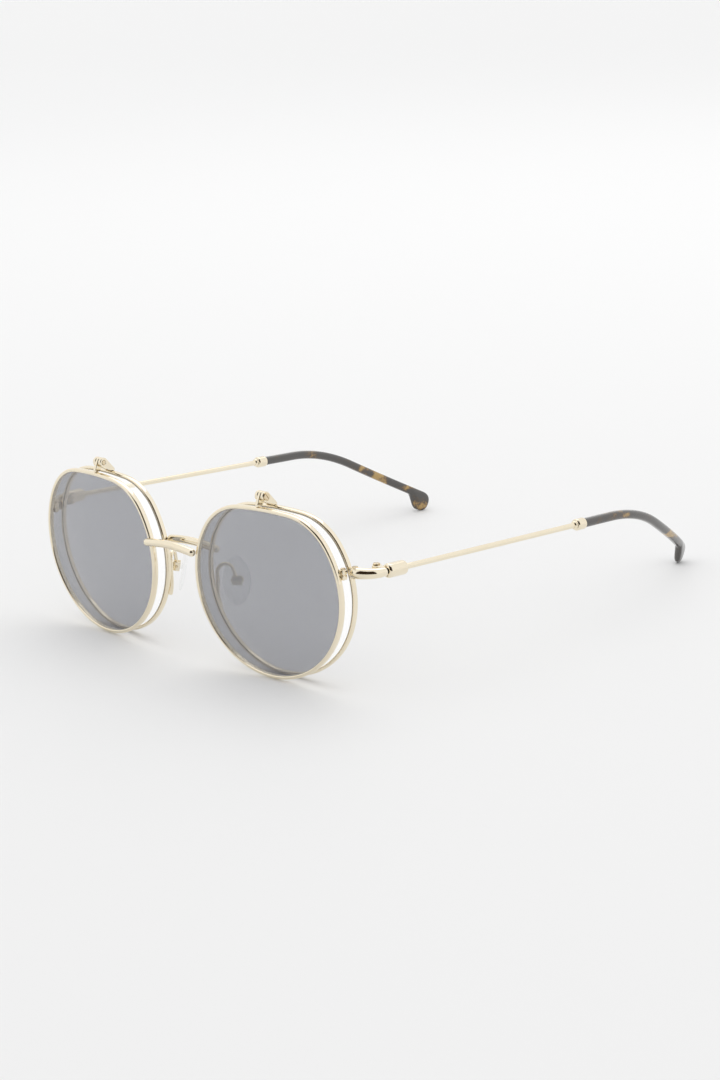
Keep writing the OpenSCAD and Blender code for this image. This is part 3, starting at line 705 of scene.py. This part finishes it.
# %% Flip hinge
ACROSS_PIN = ((0, 1, 0), (0, 0, 1), (1, 0, 0))
pin_at = row_frame(*PIN)
PIN_HOLE, KNUCKLE_GAP, SEAT, FOOT_HALF, FOOT_TALL = 0.64, 0.05, 0.06, 1.45, 0.5
rear_tail = Vector((0, rear_brow.y - PIN.y, rear_brow.z - PIN.z))
flip_tail = Vector((0, flip_brow.y - PIN.y, flip_brow.z - PIN.z))
HALF_K = KNUCKLE_LONG / 2
ears = []
for side in (-1, 1):
    middle = side * (KNUCKLE_LONG + KNUCKLE_GAP)
    ears.append(knuckle(pin_at, ACROSS_PIN, FLIP_KNUCKLE,
                        [(rear_tail.y + 0.15, rear_tail.z + SEAT), (rear_tail.y + 1.4, rear_tail.z + SEAT),
                         (rear_tail.y + 1.4, rear_tail.z + 0.5)],
                        PIN_HOLE, (middle - HALF_K, middle + HALF_K)))
ears.append(block([(-FOOT_HALF, 0.0), (FOOT_HALF, 0.0), (FOOT_HALF, FOOT_TALL), (-FOOT_HALF, FOOT_TALL)],
                  ((1, 0, 0), (0, 0, 1), (0, 1, 0)),
                  row_frame(PIN.x, rear_brow.y, rear_brow.z + SEAT), (0.25, 1.35), 0.12))
pair("flip_hinge_yoke_*", joined("yoke", ears), GOLD, "frame", ["flip_yoke_*"], sharp=32)
tongue = knuckle(pin_at, ACROSS_PIN, FLIP_KNUCKLE,
                 [(flip_tail.y + 0.1, flip_tail.z + 0.7), (flip_tail.y + 0.1, flip_tail.z + SEAT),
                  (flip_tail.y + 1.4, flip_tail.z + SEAT)], PIN_HOLE, (-HALF_K, HALF_K))
pair("flip_hinge_knuckle_*", tongue, GOLD, "flip_front", ["flip_knuckle_*"], sharp=32)

# %% [markdown]
# ## End pieces, closing blocks and temple hinges
# The end piece is a short rod that leaves the rear rim sideways and bends back to
# the temple, thick at the front and slimmer at the hinge. A small block on each rim
# holds the screw that closes it round the lens; a fine split runs through it.

# %% End pieces
TEMPLE_RISE, BLOCK_RISE, BLOCK_TALL, REAR_BLOCK_OUT, FLIP_BLOCK_IN = 6.9, 6.65, 2.6, 1.15, 0.1
END_LEAD, END_BEND, END_THICK, END_TAPER, HINGE_GAP = 0.95, 5.3, 1.58, 0.42, 0.1
KNUCKLE, HINGE_HOLE, OUTER_AT, OUTER_HALF, MIDDLE_HALF = 1.1, 0.54, 0.95, 0.35, 0.55
COLLAR_LONG, COLLAR_RADIUS, WIRE_LONG, WIRE_RADIUS = 6.6, 1.85, 67.8, 0.75
TEMPLE_UP = REAR_UP + TEMPLE_RISE
rear_side = on_rear(sqrt(REACH ** 2 - TEMPLE_RISE ** 2), TEMPLE_RISE, RIM_DEPTH / 2)
flip_side = on_flip(sqrt(REACH ** 2 - BLOCK_RISE ** 2), BLOCK_RISE, RIM_DEPTH)
TEMPLE_X = rear_side.x + END_BEND + END_LEAD
HINGE_Y = rear_side.y + END_BEND + HINGE_GAP
HINGE_X = TEMPLE_X - COLLAR_RADIUS - KNUCKLE
bend = []
for k in range(37):
    a = radians(-90 + 90 * k / 36)
    bend.append(((TEMPLE_X - END_BEND + END_BEND * cos(a)), HINGE_Y - HINGE_GAP + END_BEND * sin(a)))
start = [(bend[0][0] - 0.75 + 0.06 * k, bend[0][1]) for k in range(12)]
line = start + bend
steps = [hypot(b[0] - a[0], b[1] - a[1]) for a, b in zip(line, line[1:])]
length = np.concatenate([[0], np.cumsum(steps)])
total = length[-1]
radii = []
for s in length:
    taper = END_THICK - END_TAPER * (s / total) ** 0.8
    nose = sqrt(max(0.0, 1 - max(0.0, 1 - s / 0.7) ** 2)) if s < 0.7 else 1.0
    tail = 1 - 0.25 * max(0.0, 1 - (total - s) / 0.3) ** 2
    radii.append(taper * (0.45 + 0.55 * nose) * tail)
points = [row_frame(x, y, TEMPLE_UP) for x, y in [line[0], *line, line[-1]]]
points[0] -= Vector((1e-5, 0, 0))
points[-1] += Vector((0, 1e-5, 0))
elbow = swept(points, (0, 0, 1), [0, *radii, 0], [0, *radii, 0], 32)
FLAT = ((1, 0, 0), (0, 1, 0), (0, 0, 1))
parts = [elbow]
hinge_at = row_frame(HINGE_X, HINGE_Y, TEMPLE_UP)
web = TEMPLE_X - HINGE_X
for side in (-1, 1):
    middle = side * OUTER_AT
    parts.append(knuckle(hinge_at, FLAT, KNUCKLE, [(0, -1.7), (web, -1.7), (web, -0.3)], HINGE_HOLE,
                         (middle - OUTER_HALF, middle + OUTER_HALF), 0.1))


def rectangle(half_wide, half_deep):
    return [(-half_wide, -half_deep), (half_wide, -half_deep),
            (half_wide, half_deep), (-half_wide, half_deep)]


def closing_block(centre, wide, deep, tall):
    """A small block with soft edges, split across its middle."""
    split, inset = 0.05, 0.2
    halves = [block(rectangle(wide / 2, deep / 2), FLAT, centre, span, 0.25, 4)
              for span in ((-tall / 2, -split), (split, tall / 2))]
    core = block(rectangle(wide / 2 - inset, deep / 2 - inset), FLAT, centre,
                 (-2 * split, 2 * split), 0.02, 1)
    return halves + [core]


rear_block_at = row_frame(rear_side.x + REAR_BLOCK_OUT, rear_side.y, TEMPLE_UP)
parts += closing_block(rear_block_at, 2.2, 2.0, BLOCK_TALL)
pair("end_piece_rod_*", joined("end", parts), GOLD, "frame", ["end_piece_*"], sharp=32)
flip_block = joined("flip block", closing_block(
    row_frame(flip_side.x - FLIP_BLOCK_IN, flip_side.y + 0.82, TEMPLE_UP), 1.6, 1.6, BLOCK_TALL))
pair("flip_closing_block_*", flip_block, GOLD, "flip_front", ["flip_block_*"], sharp=32)

# %% [markdown]
# ## Temples
# A round collar carries the temple's half of the hinge. From it a straight wire
# runs back to a ferrule, a little turned cap that grips the tip, with a bead in
# front of it.

# %% Collars, wires and ferrules
SLOPE, WIRE_AT, FERRULE_AT, CAP_LONG, CAP_RADIUS = radians(3.4), COLLAR_LONG, 74.3, 3.48, 1.6
heading = Vector((0, cos(SLOPE), -sin(SLOPE)))
temple_at = row_frame(TEMPLE_X, HINGE_Y + HINGE_GAP, TEMPLE_UP)
collar = rod(temple_at + heading * 0.15, heading, eased(COLLAR_LONG, COLLAR_RADIUS, 0.8))
mid_knuckle = knuckle(hinge_at, FLAT, KNUCKLE, [(web, 0.2), (web, 2.6), (0.1, 1.3)], HINGE_HOLE,
                      (-MIDDLE_HALF, MIDDLE_HALF), 0.1)
pair("temple_collar_turned_*", joined("collar", [collar, mid_knuckle]), GOLD, "temple_*",
     ["temple_collar_*"], sharp=32)
wire = rod(temple_at + heading * WIRE_AT, heading, eased(WIRE_LONG, WIRE_RADIUS, 0.1, bulk=24))
pair("temple_wire_drawn_*", wire, GOLD, "temple_*", ["temple_wire_*"])
bead = [(0, 0.0), (0.0, 0.76), (0.15, 0.98), (0.4, 1.12), (0.65, 1.12), (0.9, 0.98), (1.05, 0.86)]
cap = [(1.0 + s, r) for s, r in eased(CAP_LONG, CAP_RADIUS, 0.5)][1:]
ferrule = rod(temple_at + heading * FERRULE_AT, heading, bead + cap)
pair("tip_ferrule_turned_*", ferrule, GOLD, "temple_*", ["tip_ferrule_*"])

# %% [markdown]
# ## Temple tips
# The tip slides over the end of the wire, runs straight, bends down behind the ear
# and flares to a flat paddle. Its centre line is a straight, an arc and a straight
# again, so the same sweep makes it, with one half size growing towards the end.

# %% Tips
TIP_HALF, TIP_STRAIGHT, TIP_BEND, TIP_ANGLE, TIP_INWARD = 1.25, 12.0, 54.0, radians(29.4), 0.0036
TIP_END, TIP_FLARE, TIP_AT, TABLE_GAP = 6.2, 7.5, 78.8, 0.02
tip_y = HINGE_Y + HINGE_GAP + TIP_AT * cos(SLOPE)
tip_z = TEMPLE_UP - TIP_AT * sin(SLOPE)
bend_y, bend_z = tip_y + TIP_STRAIGHT * cos(SLOPE), tip_z - TIP_STRAIGHT * sin(SLOPE)
tail_y = bend_y + TIP_BEND * (sin(TIP_ANGLE) - sin(SLOPE))
tail_z = bend_z - TIP_BEND * (cos(SLOPE) - cos(TIP_ANGLE))
TIP_ARC = TIP_BEND * (TIP_ANGLE - SLOPE)


def tip_sizes(t):
    """Half thickness, half width and drop of the tip's middle, at distance t from its end."""
    q = min(1.0, max(0.0, 2 * t / TIP_FLARE - 0.9))
    flare = 1 - q * q * (3 - 2 * q)
    nose = max(0.0, 1 - max(0.0, 1 - 2 * t / TIP_END) ** 2.6) ** 0.42
    drop = (TIP_END / 2 - TIP_HALF) * flare
    return TIP_HALF * nose, (TIP_HALF + drop) * nose, drop


end_reach = 0.0
for t in np.arange(0, TIP_FLARE, 0.1):
    _, half_up, drop = tip_sizes(t)
    end_reach = max(end_reach, (half_up + drop) * cos(TIP_ANGLE) - t * sin(TIP_ANGLE))
TIP_LONG = TIP_STRAIGHT + TIP_ARC + (tail_z - end_reach - TABLE_GAP) / sin(TIP_ANGLE)


def tip_slope(s):
    """How steeply the tip runs down at distance s from its start."""
    return SLOPE + min(max(0.0, s - TIP_STRAIGHT), TIP_ARC) / TIP_BEND


def tip_line(s, drop):
    x = TEMPLE_X - TIP_INWARD * max(0.0, s - TIP_STRAIGHT) ** 2
    a = tip_slope(s)
    straight = min(s, TIP_STRAIGHT)
    past = max(0.0, s - TIP_STRAIGHT - TIP_ARC)
    y = tip_y + straight * cos(SLOPE) + TIP_BEND * (sin(a) - sin(SLOPE)) + past * cos(a)
    z = tip_z - straight * sin(SLOPE) - TIP_BEND * (cos(SLOPE) - cos(a)) - past * sin(a)
    return row_frame(x, y - drop * sin(a), z - drop * cos(a))


near = list(np.linspace(0, 0.4, 6)) + list(np.linspace(0.4, TIP_LONG - TIP_END / 2, 110))[1:]
last = [TIP_LONG - TIP_END / 2 * (1 - sin(pi / 2 * k / 18)) for k in range(1, 19)]
tip_points, sizes, slopes = [], [], []
for s in near + last:
    half_side, half_up, drop = tip_sizes(TIP_LONG - s)
    start = sqrt(max(0.0, 1 - max(0.0, 1 - s / 0.35) ** 2)) * 0.12 + 0.88
    tip_points.append(tip_line(s, drop))
    slopes.append((0.0, cos(tip_slope(s)), -sin(tip_slope(s))))
    sizes.append((half_side * start, half_up * start))
tip_points.insert(0, tip_points[0] - heading * 1e-5)
sizes.insert(0, (0.0, 0.0))
slopes.insert(0, slopes[0])
tip = swept(tip_points, (1, 0, 0), [a for a, b in sizes], [b for a, b in sizes], 32, 2.5, slopes)
pair("temple_tip_acetate_*", tip, TORTOISE, "temple_*", ["temple_tip_*"])
print("tip", round(TIP_LONG, 1), "mm long")

# %% [markdown]
# ## Nose pads
# Each pad hangs on an arm of thin wire: up from a flat foot soldered behind the
# rim, over in a small arch, and down to a box that pinches the pad's tongue. The
# screw through the box lets the pad rock to suit the nose.

# %% Pad arms and boxes
ARM, ARCH_R, ARM_HEAD, ARM_DROP, ARM_LEG = 0.5, 2.1, radians(59), radians(19), 2.6
ARM_UP, FOOT_DOWN, ARM_GAP = REAR_UP - 0.8, 9.0, 0.3
foot = Vector((LENS_GAP / 2 - RIM_WIDTH + 1.0, on_rear(-REACH, 0, RIM_DEPTH).y + ARM_GAP + ARM, 0))
foot_at = on_rear(-sqrt((EYE_RADIUS + RIM_WIDTH / 2) ** 2 - FOOT_DOWN ** 2), -FOOT_DOWN, RIM_DEPTH)
ahead = Vector((cos(ARM_HEAD), sin(ARM_HEAD), 0))
arm = []
for k in range(13):
    t = k / 12
    drop_in = (1 - t) ** 2
    arm.append(Vector((foot.x + (foot_at.x - foot.x) * drop_in * 0.9,
                       foot.y + (foot_at.y + ARM_GAP - foot.y) * drop_in * 0.7, foot_at.z - 0.9 + 3.6 * t)))
arm += [Vector((foot.x, foot.y, z)) for z in np.linspace(arm[-1].z, ARM_UP, 14)[1:]]
for k in range(1, 31):
    a = pi - (pi - ARM_DROP) * k / 30
    arm.append(Vector((foot.x, foot.y, ARM_UP)) + ahead * (ARCH_R + ARCH_R * cos(a))
               + Vector((0, 0, ARCH_R * sin(a))))
out = Vector((sin(ARM_DROP) * ahead.x, sin(ARM_DROP) * ahead.y, -cos(ARM_DROP)))
arm += [arm[-1] + out * ARM_LEG * k / 8 for k in range(1, 9)]
arm = [p - Vector((0, CENTRE_Y, 0)) for p in arm]
wide = [ARM * (1 + 0.55 * max(0.0, 1 - k / 9) ** 1.5) for k in range(len(arm))]
tight = [ARM * (1 + 0.10 * max(0.0, 1 - k / 9)) for k in range(len(arm))]
sides = (sin(ARM_HEAD), -cos(ARM_HEAD), 0)
first = arm[0] - (arm[1] - arm[0]).normalized() * 0.35
arm = [first - (arm[1] - arm[0]) * 1e-4, first, (first + arm[0]) / 2, *arm, arm[-1] + out * 1e-4]
wide = [0, wide[0] * 0.55, wide[0] * 0.9, *wide, 0]
tight = [0, tight[0] * 0.55, tight[0] * 0.9, *tight, 0]
arm_mesh = swept(arm, sides, wide, tight, 20)
pair("pad_arm_wire_*", arm_mesh, GOLD, "frame", ["pad_arm_*"])

PAD_TURN, PAD_SPREAD = radians(47), radians(10)
box_out = ARCH_R * (1 + cos(ARM_DROP)) + (ARM_LEG + 0.5) * sin(ARM_DROP)
box_at = row_frame(foot.x + box_out * ahead.x, foot.y + box_out * ahead.y,
                   ARM_UP + ARCH_R * sin(ARM_DROP) - (ARM_LEG + 0.9) * cos(ARM_DROP))
PAD_WAYS = [Matrix.Rotation(PAD_TURN, 3, "Z") @ Matrix.Rotation(-PAD_SPREAD, 3, "X") @ Vector(v)
            for v in ((1, 0, 0), (0, 1, 0), (0, 0, 1))]
channel = [(-1.35, -1.3), (1.35, -1.3), (1.35, 0.9), (0.8, 0.9), (0.8, -0.8), (-0.8, -0.8), (-0.8, 0.9),
           (-1.35, 0.9)]
pair("pad_box_folded_*", block(channel, PAD_WAYS, box_at, (-1.2, 1.2), 0.12), GOLD, "frame",
     ["pad_box_*"], sharp=32)

# %% [markdown]
# The pad itself is an oval cushion of silicone. Rings of points from the middle of
# its face, over a rounded rim, to the middle of its back make a shape without a
# corner anywhere, and the tongue behind it is one more knuckle.

# %% Silicone pads
PAD_LONG, PAD_WIDE, PAD_OUT = 6.5, 3.7, 1.3 + 0.45


def pad_mesh():
    rings, steps = 22, 72
    verts, faces = [], []
    for k in range(rings + 1):
        t = k / rings
        share = sin(pi * t) ** 0.62 if 0 < k < rings else 0.0
        face = cos(pi * t)
        for j in range(steps):
            a = 2 * pi * j / steps
            tall = share * PAD_LONG * sin(a) * (1 - 0.04 * sin(a))
            across = share * PAD_WIDE * cos(a) * (1 - 0.10 * sin(a)) * (1 - 0.06 * sin(a) ** 2)
            crown = 0.95 * (1 - (tall / PAD_LONG) ** 2 * 0.5 - (across / PAD_WIDE) ** 2 * 0.5)
            thick = (crown if face > 0 else 0.22) * abs(face) ** 0.5
            deep = PAD_OUT + (thick if face > 0 else -thick * 2)
            verts.append((Vector(box_at) + PAD_WAYS[0] * across + PAD_WAYS[1] * deep
                          + PAD_WAYS[2] * tall) * MM)
    for k in range(rings):
        for j in range(steps):
            i = (j + 1) % steps
            faces.append((k * steps + j, k * steps + i, (k + 1) * steps + i, (k + 1) * steps + j))
    mesh = bpy.data.meshes.new("pad")
    mesh.from_pydata([tuple(v) for v in verts], [], faces)
    return mesh


tongue_ways = (PAD_WAYS[1], PAD_WAYS[2], PAD_WAYS[0])
tongue = knuckle(box_at, tongue_ways, 0.72, [(1.7, -0.65), (1.7, 0.65)], 0.44, (-0.72, 0.72), 0.08)
pair("nose_pad_silicone_*", joined("pad", [pad_mesh(), tongue]), SILICONE, "pad_*", ["nose_pad_*"],
     sharp=50)

# %% [markdown]
# ## Screws
# The same slotted screw turns up in ten places and five sizes. One tree makes the
# screw from its sizes, cuts the slot, and sets a copy on each point that it is
# given, turned along that point's own direction.

# %% Screw tree
def screw_tree():
    n, size = new_tree("slotted screw", {"Shank radius": "Float", "Shank length": "Float",
                                         "Head radius": "Float", "Head height": "Float",
                                         "Slot width": "Float", "Slot turn": "Float",
                                         "Finish": "Material"})

    def turned_part(radius, bottom, tall, power):
        flat, round_it, through = grid(n, 33, 17)
        around, over = round_it * (2 * pi), (through - 0.5) * pi
        far = radius * n.maths("ABSOLUTE", n.maths("COSINE", over)) ** power
        up = bottom + tall * (0.5 + 0.5 * signed_power(n, n.maths("SINE", over), power))
        point = n.add("ShaderNodeCombineXYZ", {}, {"X": far * n.maths("COSINE", around),
                                                   "Y": far * n.maths("SINE", around), "Z": up})
        scaled = n.vectors("MULTIPLY", point, (MM, MM, MM))
        moved = n.add("GeometryNodeSetPosition", {}, {"Geometry": flat, "Position": scaled})
        return n.add("GeometryNodeMergeByDistance", {}, {"Geometry": moved, "Distance": MERGE})

    head = turned_part(size["Head radius"], 0.0, size["Head height"], 2 / 5)
    shank = turned_part(size["Shank radius"], 0.05 - size["Shank length"], size["Shank length"], 2 / 14)
    cutter = n.add("GeometryNodeMeshCube", {}, {"Size": n.vectors(
        "MULTIPLY", n.add("ShaderNodeCombineXYZ", {}, {"X": size["Head radius"] * 4,
                                                       "Y": size["Slot width"],
                                                       "Z": size["Head height"]}), (MM, MM, MM))})
    placed = n.add("GeometryNodeTransform", {}, {
        "Geometry": cutter,
        "Translation": n.add("ShaderNodeCombineXYZ", {}, {"Z": size["Head height"] * MM}),
        "Rotation": n.add("ShaderNodeCombineXYZ", {}, {"Z": size["Slot turn"]})})
    slotted = n.add("GeometryNodeMeshBoolean", {"operation": "DIFFERENCE", "solver": "EXACT"},
                    {"Mesh 1": head, "Mesh 2": placed})
    both = n.tree.nodes.new("GeometryNodeJoinGeometry")
    for part in (slotted, shank):
        n.tree.links.new(part.socket, both.inputs[0])
    way = n.add("GeometryNodeInputNamedAttribute", {"data_type": "FLOAT_VECTOR"}, {"Name": "way"})
    turn = n.add("FunctionNodeAlignRotationToVector", {"axis": "Z"}, {"Vector": way})
    set_down = n.add("GeometryNodeInstanceOnPoints", {}, {
        "Points": size["Given"], "Instance": Value(n, both.outputs[0]), "Rotation": turn})
    return end_tree(n, set_down, size["Finish"])


SCREW_TREE = screw_tree()


def screws(name, place, way, shank, depth, head, tall, body, node, slot_turn=0.0):
    """Sets a screw at a place on the left and its mirror image on the right."""
    points = bpy.data.meshes.new(name)
    points.from_pydata([tuple(Vector(place) * MM), tuple(Vector((-place[0], *place[1:])) * MM)], [], [])
    ways = np.array([*way, -way[0], *way[1:]], float)
    points.attributes.new("way", "FLOAT_VECTOR", "POINT").data.foreach_set("vector", ways)
    mesh = grown(name, SCREW_TREE, {
        "Shank radius": shank / 2, "Shank length": depth, "Head radius": head / 2, "Head height": tall,
        "Slot width": 0.24, "Slot turn": slot_turn, "Finish": SCREW}, points)
    piece(name, mesh, SCREW, body, [node + "_left", node + "_right"], sharp=24)


HEAD_UP = 1.32
long = 1.5 * KNUCKLE_LONG + KNUCKLE_GAP
screws("flip_hinge_screws", (pin_at.x + long + 0.02, pin_at.y, pin_at.z), (1, 0, 0), 1.2, 2 * long + 0.15,
       2.0, 0.35, "frame", "flip_pin", 0.6)
screws("temple_hinge_screws", (hinge_at.x, hinge_at.y, hinge_at.z + HEAD_UP), (0, 0, 1), 1.0, 2.8, 1.8, 0.3,
       "frame", "temple_pin", 0.4)
screws("rim_closing_screws", row_frame(rear_side.x + REAR_BLOCK_OUT, rear_side.y, TEMPLE_UP + HEAD_UP),
       (0, 0, 1), 0.8, 2.9, 1.5, 0.3, "frame", "rim_screw", 0.9)
screws("flip_closing_screws",
       row_frame(flip_side.x - FLIP_BLOCK_IN, flip_side.y + 0.85, TEMPLE_UP + HEAD_UP),
       (0, 0, 1), 0.8, 2.8, 1.3, 0.3, "flip_front", "block_screw", 0.2)
screws("pad_screws", Vector(box_at) + PAD_WAYS[0] * 1.37, PAD_WAYS[0], 0.8, 3.1, 1.3, 0.4, "frame",
       "pad_screw", 0.5)

# %% [markdown]
# ## Studio
# A white table under a white sky, its colour painted darker towards the camera as
# painted shade for the light falling off there. A mirror-like wire shows whatever is round it, so
# a dark card hangs in the sky above and beside the camera, as the far end of a real
# room does behind a photographer. It is seen only in reflections.

# %% Table, sky and lights
CARD_BROWN = (0.03, 0.018, 0.01, 1.0)
CARD_LOW, CARD_HIGH, CARD_X, CARD_Y = 0.03, 0.90, 0.55, 0.835


def dark_card(n, way):
    """One inside a patch of sky above and beside the camera, for reflections only."""
    under = n.maths("LESS_THAN", n.axis(way, "Z"), CARD_HIGH)
    inside = under * n.maths("GREATER_THAN", n.axis(way, "Z"), CARD_LOW)
    towards = n.axis(way, "X") * CARD_X - n.axis(way, "Y") * CARD_Y
    aside = n.maths("ABSOLUTE", n.axis(way, "X") * CARD_Y + n.axis(way, "Y") * CARD_X)
    narrow = n.add("ShaderNodeMapRange", {"interpolation_type": "SMOOTHSTEP"}, {
        "Value": aside / n.maths("MAXIMUM", towards, 0.0001), "From Min": 1.05, "From Max": 0.95})
    glossy = n.add("ShaderNodeLightPath", {}, {}, "Is Glossy Ray")
    return inside * narrow * glossy * n.maths("GREATER_THAN", towards, 0.0)


def studio():
    bpy.ops.mesh.primitive_plane_add(size=14.0, location=(0, 3.0, -0.00002))
    table = bpy.context.object
    table.name = "table"
    finish, n, spot = new_finish("white table")
    grain = noise(n, spot, 40.0, 3.0)
    # painted shade: the table's grey is painted darker towards the camera, standing in for light falling
    # off there
    far = n.add("ShaderNodeMapRange", {"interpolation_type": "SMOOTHSTEP"}, {
        "Value": n.axis(spot, "Y"), "From Min": -3.6, "From Max": -1.5, "To Min": 0.82, "To Max": 0.93})
    tone = n.add("ShaderNodeCombineColor", {}, {"Red": far, "Green": far, "Blue": far})
    end_finish(n, n.add("ShaderNodeBsdfPrincipled", {}, {
        "Base Color": tone, "Roughness": 0.55 + 0.1 * grain, "IOR": 1.3}))
    table.data.materials.append(finish)
    world = bpy.data.worlds.new("white studio")
    scene.world = world
    world.use_nodes = True
    world.node_tree.nodes.clear()
    n = Nodes(world.node_tree)
    way = n.add("ShaderNodeTexCoord", {}, {}, "Generated")
    sky = colour_mix(n, dark_card(n, way), (1.0, 1.0, 1.0, 1.0), CARD_BROWN)
    shine = n.add("ShaderNodeBackground", {}, {"Color": sky, "Strength": 0.98})
    out = world.node_tree.nodes.new("ShaderNodeOutputWorld")
    world.node_tree.links.new(shine.socket, out.inputs["Surface"])
    lamp = bpy.data.lights.new("soft box", "AREA")
    lamp.shape, lamp.size, lamp.size_y, lamp.energy = "RECTANGLE", 1.2, 0.9, 3.0
    box = bpy.data.objects.new("soft box", lamp)
    scene.collection.objects.link(box)
    box.location = (-0.5, 0.6, 1.3)
    box.rotation_euler = (Vector((0, 0, 0)) - box.location).to_track_quat("-Z", "Y").to_euler()


studio()
scene.view_settings.view_transform = "Standard"

# %% [markdown]
# ## Camera
# The camera stands in front and to the wearer's left, a little above the brow, with
# a slight roll.

# %% Camera
lens = bpy.data.cameras.new("camera")
FOCAL_LENGTH, SENSOR = 75.43333333333334, 36.0
lens.lens, lens.sensor_width, lens.sensor_fit = FOCAL_LENGTH, SENSOR, "AUTO"
lens.clip_start, lens.clip_end = 0.01, 50.0
camera = bpy.data.objects.new("camera", lens)
scene.collection.objects.link(camera)
right = Vector((0.73032755, 0.68246914, -0.02928368))
above = Vector((-0.15995082, 0.21253006, 0.96397443))
behind = Vector((0.66410647, -0.69933314, 0.26437805))
turn = Matrix((right, above, behind)).transposed().to_4x4()
camera.matrix_world = Matrix.Translation((0.42262192, -0.45145846, 0.18473635)) @ turn
scene.camera = camera
